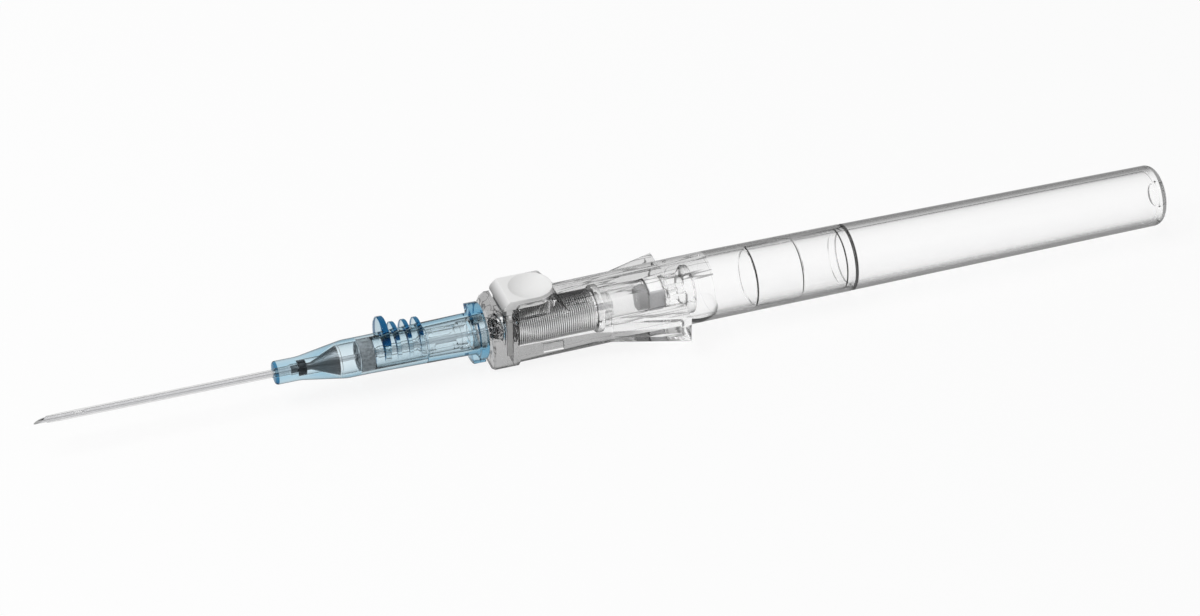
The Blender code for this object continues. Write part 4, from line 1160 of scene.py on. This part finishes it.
pad_end = DISH_STATION + BUTTON_HALF_WIDTH
button = slab(
    "button_fine",
    [
        (PAD_START, -BUTTON_HALF_WIDTH, 0.3),
        (pad_end, -BUTTON_HALF_WIDTH, BUTTON_HALF_WIDTH),
        (pad_end, BUTTON_HALF_WIDTH, BUTTON_HALF_WIDTH),
        (PAD_START, BUTTON_HALF_WIDTH, 0.3),
    ],
    BUTTON_TOP - BUTTON_THICKNESS,
    BUTTON_TOP,
    "Z",
    arcs=16,
)
plate = block(
    "plate_tool",
    (PLATE_START, -PLATE_HALF_WIDTH, -PLATE_FOOT),
    (PLATE_END, PLATE_HALF_WIDTH, BUTTON_TOP - BUTTON_THICKNESS + 0.3),
)
slope = slab(
    "slope_tool",
    [
        (PAD_START - 1, BUTTON_TOP - BUTTON_SLOPE),
        (PAD_START, BUTTON_TOP - BUTTON_SLOPE),
        (PAD_START + 0.5 * BUTTON_SLOPE, BUTTON_TOP - 0.44 * BUTTON_SLOPE),
        (PAD_START + BUTTON_SLOPE, BUTTON_TOP),
        (PAD_START + BUTTON_SLOPE, BUTTON_TOP + 1),
        (PAD_START - 1, BUTTON_TOP + 1),
    ],
    -6,
    6,
    "Y",
)
ball_radius = (DISH_RADIUS**2 + DISH_DEPTH**2) / (2 * DISH_DEPTH)
ball = turned("dish_tool", arc(ball_radius, 0.0, math.pi, 96, (DISH_STATION, 0.0)), 128)
ball.location.z += (BUTTON_TOP - DISH_DEPTH + ball_radius) * MM
keyhole = arc(RELEASE_HOLE, -0.25 * math.pi, 1.25 * math.pi, 24, (0.0, BUTTON_TRAVEL))
keyhole += arc(LATCH_HOLE, math.pi, 2 * math.pi, 24)
keyhole_tool = slab("keyhole_tool", keyhole, PLATE_START - 1, PLATE_END + 1, "X")
join(button, plate)
cut(button, slope, ball, keyhole_tool)
soften(button, 0.16, 3, 20)


def satin_plastic(name, shade, rough, depth):
    """Opaque moulding with a very fine grain, which takes its gloss away."""
    material, nodes, links = shader_of(name)
    shader = nodes["Principled BSDF"]
    fine = grain(nodes, links, 8.0)
    mottled = two_tone(nodes, links, fine, [part * 0.985 for part in shade], shade)
    links.new(mottled, shader.inputs["Base Color"])
    shader.inputs["Roughness"].default_value = rough
    shader.inputs["Specular IOR Level"].default_value = 0.35
    relief(nodes, links, fine, shader, depth)
    return material


def painted_shade_slope(name, top, foot):
    """The button's matt front slope, with painted shade that deepens from its upper edge to its foot.
    """
    material, nodes, links = shader_of(name)
    height = along(nodes, links, "Z", BUTTON_TOP - BUTTON_SLOPE, BUTTON_TOP)
    shader = nodes["Principled BSDF"]
    greyed = two_tone(nodes, links, height, (foot,) * 3, (top,) * 3)
    links.new(greyed, shader.inputs["Base Color"])
    shader.inputs["Roughness"].default_value = 0.6
    return material


white_satin = satin_plastic("white satin button", (0.84, 0.84, 0.835), 0.5, 0.004)
slope_painted_shade = painted_shade_slope("matt front slope, painted shade", 0.82, 0.26)
fit(button, white_satin, "button", "push_button")
# Painted shade on the button's front slope.
for face in button.data.polygons:
    if face.normal.x < -0.25 and face.center.x < (PAD_START + BUTTON_SLOPE + 0.2) * MM:
        coat(button, face, slope_painted_shade)


# Grip: the shell that a hand holds, moulded in one from clear polycarbonate. Its square front
# block takes the latch plate, its cheeks flank the button, its wings flare rearwards, and its
# round rear takes the long tube.
BLOCK_START = 58.3
BLOCK_END = 61.7
BLOCK_HALF_WIDTH = 3.6
BLOCK_TOP = 4.0
BLOCK_DROP = 4.35
BLOCK_CORNER = 1.2
BLOCK_BROW = 0.9
BLOCK_CHAMFER = 0.15
BODY_END = 88.0
BODY_HALF_WIDTH = 3.5
BODY_TOP = 3.1
BODY_DROP = 4.0
BODY_WALL = 0.65
CAVITY_TOP = 2.82
CAVITY_CORNER = 0.87
CAVITY_END = 3.5
BARREL_RADIUS = 4.46
JOINT_RADIUS = 4.4
GRIP_END = 107.2
GRIP_BORE = 3.6
JOINT_BORE = 3.87
JOINT_START = 93.65
NOSE_START = 56.2
NOSE_TIP_RADIUS = 2.04
NOSE_BORE = 1.62
CHEEK_START = 60.8
CHEEK_END = 66.5
CHEEK_TOP = 5.1
CHEEK_FRONT = 3.4
CHEEK_SLOPE = 1.0
CHEEK_HALF_WIDTH = 3.46
WING_START = 70.3
WING_KNEE = 73.5
WING_END = 83.3
WING_ROOT = 3.5
WING_KNEE_REACH = 4.45
WING_REACH = 7.7
WING_TOP = 1.25
WING_BOTTOM = -2.4
WING_RIM = 0.7
WING_RECESS = 0.8
RECESS_FRONT = 0.4
RECESS_REAR = 0.9
BULGE_CENTRE = (85.9, 3.5, -0.3)
BULGE_RADII = (2.7, 1.6, 2.4)
CLIP_START = 64.9
CLIP_END = 67.6
CLIP_FACE = 3.35
CLIP_TOP = -1.3
CLIP_BOTTOM = -2.6
BEAD_START = 98.4
BEAD_END = 100.1
RIM_CHAMFER = 0.2
LOW_WALL_TOP = -0.95
LOW_WALL_END = 76.0
LOW_WALL_FADE = 6.0
LOW_WALL_SHADE = 0.27
CORE_ROOM = 0.15
LATCH_ROOM = 0.06
BUTTON_ROOM = 0.16
WING_RISE = 4.2


def body_outline(half_width, top, bottom, corner, segments=16):
    """A rounded rectangle in YZ with a fixed number of points, whatever its corners."""
    outline = []
    corners = (
        (half_width - corner, top - corner, 0.0),
        (corner - half_width, top - corner, 0.5 * math.pi),
        (corner - half_width, bottom + corner, math.pi),
        (half_width - corner, bottom + corner, 1.5 * math.pi),
    )
    for y, z, start in corners:
        for step in range(segments + 1):
            angle = start + 0.5 * math.pi * step / segments
            outline.append((y + corner * math.cos(angle), z + corner * math.sin(angle)))
    return outline


def loft(name, sections):
    """A closed body through (station, outline) sections that all have as many points."""
    body = bmesh.new()
    loops = []
    for station, outline in sections:
        loops.append([body.verts.new(Vector((station, y, z)) * MM) for y, z in outline])
    for front, rear in zip(loops, loops[1:]):
        for index in range(len(front)):
            after = (index + 1) % len(front)
            body.faces.new((front[index], front[after], rear[after], rear[index]))
    body.faces.new(loops[0])
    body.faces.new(loops[-1])
    mesh = mesh_of(name, body)
    face_outwards(mesh)
    return place_mesh(name, mesh)


def ellipsoid(name, centre, radii):
    """A rounded bulge."""
    body = bmesh.new()
    bmesh.ops.create_uvsphere(body, u_segments=48, v_segments=24, radius=1.0)
    bmesh.ops.scale(body, vec=[radius * MM for radius in radii], verts=body.verts)
    bmesh.ops.translate(body, vec=[part * MM for part in centre], verts=body.verts)
    return place_mesh(name, mesh_of(name, body))


def round_section(radius):
    """A circle with as many points as the grip's squarer sections."""
    return body_outline(radius, radius, -radius, 0.995 * radius)


def block_section(top, inset=0.0):
    """Section of the front block, drawn in all round by the inset at its front edge."""
    return body_outline(BLOCK_HALF_WIDTH - inset, top, inset - BLOCK_DROP, BLOCK_CORNER)


grip = loft(
    "grip_fine",
    [
        (BLOCK_START, block_section(BLOCK_TOP - BLOCK_BROW, BLOCK_CHAMFER)),
        (BLOCK_START + 2 * BLOCK_CHAMFER, block_section(BLOCK_TOP - BLOCK_BROW / 2)),
        (BLOCK_START + BLOCK_BROW, block_section(BLOCK_TOP)),
        (BLOCK_END, block_section(BLOCK_TOP)),
        (BLOCK_END + 0.25, body_outline(BODY_HALF_WIDTH, BODY_TOP, -BODY_DROP, BLOCK_CORNER)),
        (BODY_END, round_section(BARREL_RADIUS)),
        (GRIP_END - RIM_CHAMFER, round_section(JOINT_RADIUS)),
        (GRIP_END, round_section(JOINT_RADIUS - BLOCK_CHAMFER)),
    ],
)
nose = turned(
    "nose_tool",
    [
        (BLOCK_START + BLOCK_CHAMFER, 0.0),
        (BLOCK_START + BLOCK_CHAMFER, NOSE_TIP_RADIUS + 0.07),
        (NOSE_START, NOSE_TIP_RADIUS),
        (NOSE_START, 0.0),
    ],
    72,
)
cheeks = slab(
    "cheeks_tool",
    [
        (CHEEK_START, 0.0),
        (CHEEK_END + 2.0, 0.0),
        (CHEEK_END + 2.0, BODY_TOP - 0.32),
        (CHEEK_END, CHEEK_TOP, 0.6),
        (CHEEK_START + CHEEK_SLOPE, CHEEK_TOP, 0.6),
        (CHEEK_START, CHEEK_FRONT),
    ],
    -CHEEK_HALF_WIDTH,
    CHEEK_HALF_WIDTH,
    "Y",
)
join(grip, nose, cheeks)
for side in (-1, 1):
    wing = slab(
        "wing_tool",
        [
            (WING_START, side * WING_ROOT),
            (WING_KNEE, side * WING_KNEE_REACH),
            (WING_END, side * WING_REACH),
            (WING_END, side * WING_ROOT),
        ],
        WING_BOTTOM,
        WING_TOP,
        "Z",
    )
    station, across, level = BULGE_CENTRE
    join(grip, wing, ellipsoid("bulge_tool", (station, side * across, level), BULGE_RADII))
wing_flare = (WING_REACH - WING_KNEE_REACH) / (WING_END - WING_KNEE)
recess_start = WING_KNEE + RECESS_FRONT
recess_end = WING_END - RECESS_REAR
recess_reach = WING_KNEE_REACH + wing_flare * (recess_end - WING_KNEE) - WING_RECESS
for side in (-1, 1):
    recess = slab(
        "recess_tool",
        [
            (recess_start, side * WING_REACH),
            (recess_start, side * WING_KNEE_REACH),
            (recess_end, side * recess_reach),
            (recess_end, side * 2 * WING_REACH),
        ],
        WING_BOTTOM + WING_RIM,
        WING_TOP - WING_RIM,
        "Z",
    )
    stations = (CLIP_START, CLIP_END)
    levels = (CLIP_BOTTOM, CLIP_TOP)
    cut(grip, recess, side_block("clip_tool", side, stations, (CLIP_FACE, 2 * CLIP_FACE), levels))
groove = JOINT_BORE + 0.14
barrel_bore = turned(
    "barrel_bore_tool",
    [
        (GRIP_END + 1, 0.0),
        (GRIP_END + 1, JOINT_BORE),
        (BEAD_END + 0.1, JOINT_BORE),
        (BEAD_END, groove),
        (BEAD_START, groove),
        (BEAD_START - 0.1, JOINT_BORE),
        (JOINT_START, JOINT_BORE),
        (JOINT_START, GRIP_BORE),
        (BODY_END, GRIP_BORE),
        (BODY_END, 0.0),
    ],
    96,
)
cavity_side = BODY_HALF_WIDTH - BODY_WALL
cavity_front = body_outline(cavity_side, CAVITY_TOP, BODY_WALL - BODY_DROP, CAVITY_CORNER)
cavity = loft(
    "cavity_tool", [(BLOCK_END, cavity_front), (BODY_END + 1, round_section(CAVITY_END))]
)
nose_bore = turned(
    "nose_bore_tool",
    [
        (BLOCK_END + 1, 0.0),
        (BLOCK_END + 1, CORE_RADIUS + CORE_ROOM),
        (PLATE_START - CORE_ROOM, CORE_RADIUS + CORE_ROOM),
        (PLATE_START - CORE_ROOM, NOSE_BORE),
        (NOSE_START - 1, NOSE_BORE),
        (NOSE_START - 1, 0.0),
    ],
    96,
)
slot_side = PLATE_HALF_WIDTH + LATCH_ROOM
slot = block(
    "slot_tool",
    (PLATE_START - LATCH_ROOM, -slot_side, -PLATE_FOOT - BUTTON_TRAVEL - LATCH_ROOM),
    (PLATE_END + LATCH_ROOM, slot_side, 12),
)
opening_side = BUTTON_HALF_WIDTH + BUTTON_ROOM
opening_end = pad_end + BUTTON_ROOM
opening = slab(
    "opening_tool",
    [
        (PAD_START - LATCH_ROOM, -opening_side),
        (opening_end, -opening_side, opening_side),
        (opening_end, opening_side, opening_side),
        (PAD_START - LATCH_ROOM, opening_side),
    ],
    BUTTON_TOP - BUTTON_THICKNESS - BUTTON_TRAVEL - 0.2,
    12,
    "Z",
    arcs=16,
)
cut(grip, barrel_bore, cavity, nose_bore, slot, opening)
soften(grip, MOULD_EDGE)


def darken(material, shade):
    """Multiplies the tint of a clear moulding by a painted shade."""
    nodes, links = nodes_of(material)
    entry = nodes["Tint"].inputs["A"]
    links.new(times(nodes, links, entry.links[0].from_socket, shade), entry)


def paint_low_wall_shade(material):
    """Paints shade on the block and below the spring, fading out towards the rear."""
    nodes, links = nodes_of(material)
    above = along(nodes, links, "Z", LOW_WALL_TOP, LOW_WALL_TOP + 0.1)
    behind = along(nodes, links, "X", BLOCK_END, BLOCK_END + 0.1)
    past = along(nodes, links, "X", LOW_WALL_END, LOW_WALL_END + LOW_WALL_FADE)
    unshaded = pick(nodes, links, "MAXIMUM", pick(nodes, links, "MINIMUM", above, behind), past)
    darken(material, between(nodes, links, unshaded, LOW_WALL_SHADE, 1.0))


def paint_shade_lines(material, scale, stretch, deepest):
    """Painted shade in fine dark lines through a clear moulding, standing in for its hidden edges."""
    nodes, links = nodes_of(material)
    lines = nodes.new("ShaderNodeValToRGB")
    stops = lines.color_ramp.elements
    for stop, place in zip(stops, (0.46, 0.54)):
        stop.position = place
        stop.color = (1, 1, 1, 1)
    for place in (0.49, 0.51):
        stops.new(place).color = (deepest, deepest, deepest, 1)
    links.new(grain(nodes, links, scale, stretch, 2), lines.inputs["Fac"])
    darken(material, lines.outputs["Color"])


clear_shell = clear_plastic(
    "clear polished shell",
    ((0.14, 0.95), (0.22, 0.88), (0.29, 0.8), (0.38, 0.6), (0.46, 0.28), (0.56, 0.1), (0.8, 0.02)),
    0.015,
)
# Painted shade on the shell's front block and lower wall.
paint_low_wall_shade(clear_shell)
# Copies of the shell with their own painted light and shade: bores painted light, slanted edges
# painted dark, the front block and upper wall painted darker, the wing tops lighter.
bore_painted_light = clear_plastic("clear polished bore, painted light", ((0.7, 0.98), (0.76, 0.7), (0.95, 0.5)), 0.015)
edge_painted_dark = clear_plastic("clear slanted edge, painted dark", ((0.02, 0.006),), 0.015)
block_painted_shade = clear_plastic(
    "clear front block, painted shade", ((0.15, 0.2), (0.5, 0.18), (0.7, 0.34), (0.9, 0.1)), 0.03
)
# Painted shade lines on the front block.
paint_shade_lines(block_painted_shade, 0.8, (1, 0.8, 0.5), 0.12)
top_wall_painted_shade = clear_plastic("clear upper wall, painted shade", ((0.4, 0.5), (0.6, 0.28), (0.8, 0.1)), 0.015)
wing_top_painted_light_and_shade = clear_plastic("clear wing top, painted light and shade", ((0.5, 0.7), (0.75, 0.34), (0.9, 0.15)), 0.015)
# Painted shade lines on the upper wall and the wing tops.
for wall in (top_wall_painted_shade, wing_top_painted_light_and_shade):
    paint_shade_lines(wall, 0.9, (0.08, 1, 1), 0.2)
fit(grip, clear_shell, "barrel", "grip")
# Each face takes its painted copy: slanted edges at the joint and under the bulges dark, bores light,
# the front block and upper faces shaded, the wing tops lighter.
for face in grip.data.polygons:
    station, from_axis, out = place_of(face)
    across, up = face.normal.x, face.normal.z
    at_joint = station > JOINT_START - 1 and SLANT < abs(across) < FLAT
    under_bulge = WING_END < station < BODY_END + 1 and from_axis > BARREL_RADIUS + 0.04
    if out > 0 and (at_joint or under_bulge and up < -SLANT):
        coat(grip, face, edge_painted_dark)
    elif out < -SLANT:
        coat(grip, face, bore_painted_light)
    elif station < BLOCK_END + 0.2 and (across < -SLANT or up > 0.5):
        coat(grip, face, block_painted_shade)
    elif station < WING_END + 0.5 and up > 0.8:
        coat(grip, face, wing_top_painted_light_and_shade if abs(face.center.y) > WING_RISE * MM else top_wall_painted_shade)


# Long tube: smooth clear polycarbonate with a closed rounded end, which shelters the needle
# once it is drawn back. Its spigot snaps into the grip with a bead, whose edges are painted dark.
TUBE_FRONT = 93.7
TUBE_SHOULDER = 107.25
TUBE_REAR = 151.55
TUBE_FRONT_RADIUS = 4.37
TUBE_REAR_RADIUS = 4.05
TUBE_WALL = 0.75
SPIGOT_OUTER = 3.82
SPIGOT_INNER = 3.44
END_WALL = 1.1
DIMPLE_RADIUS = 1.55
DIMPLE_DEPTH = 0.35
BEAD_HEIGHT = 0.12
LAND_START = 106.2
END_CORNER = 1.2
END_CORNER_INNER = 3.35

long_tube = turned(
    "long_tube_fine",
    [
        (TUBE_REAR - DIMPLE_DEPTH, 0.0),
        (TUBE_REAR - DIMPLE_DEPTH, DIMPLE_RADIUS - 0.15, 0.1),
        (TUBE_REAR, DIMPLE_RADIUS, 0.15),
        (TUBE_REAR, TUBE_REAR_RADIUS, END_CORNER),
        (TUBE_SHOULDER + RIM_CHAMFER, TUBE_FRONT_RADIUS),
        (TUBE_SHOULDER, TUBE_FRONT_RADIUS - BLOCK_CHAMFER),
        (TUBE_SHOULDER, SPIGOT_OUTER),
        (LAND_START, SPIGOT_OUTER),
        (LAND_START - 0.1, SPIGOT_OUTER - 0.1),
        (LAND_START - 0.2, SPIGOT_OUTER),
        (BEAD_END, SPIGOT_OUTER),
        (BEAD_END - 0.2, SPIGOT_OUTER + BEAD_HEIGHT),
        (BEAD_START + 0.5, SPIGOT_OUTER + BEAD_HEIGHT),
        (BEAD_START, SPIGOT_OUTER),
        (TUBE_FRONT + 0.2, SPIGOT_OUTER),
        (TUBE_FRONT, SPIGOT_OUTER - 0.15),
        (TUBE_FRONT, SPIGOT_INNER),
        (TUBE_REAR - END_WALL, TUBE_REAR_RADIUS - TUBE_WALL, 0.8),
        (TUBE_REAR - END_WALL, 0.0),
    ],
    128,
    arcs=8,
)
soften(long_tube, 0)
end_painted_shade = clear_plastic("clear rounded end, painted shade", ((0.02, 0.11),), 0.015)
fit(long_tube, clear_shell, "barrel", "shield_tube")
# Painted shade on the end's corner and dimple edge and on slanted edges near the grip; painted light
# on the bore, the spigot and the end's flat faces.
for face in long_tube.data.polygons:
    station, from_axis, out = place_of(face)
    across = face.normal.x
    corner = from_axis > END_CORNER_INNER and 0.2 < across < 0.97
    dimple_edge = from_axis < DIMPLE_RADIUS + 0.25 and abs(across) < FLAT
    end_flat = station > TUBE_REAR - 2 and abs(across) > FLAT
    if station > TUBE_REAR - END_CORNER - 0.05 and (corner or dimple_edge):
        coat(long_tube, face, end_painted_shade)
    elif out > 0 and station < GRIP_END + 1 and SLANT < abs(across) < FLAT:
        coat(long_tube, face, edge_painted_dark)
    elif out < -SLANT or station < TUBE_SHOULDER or end_flat:
        coat(long_tube, face, bore_painted_light)
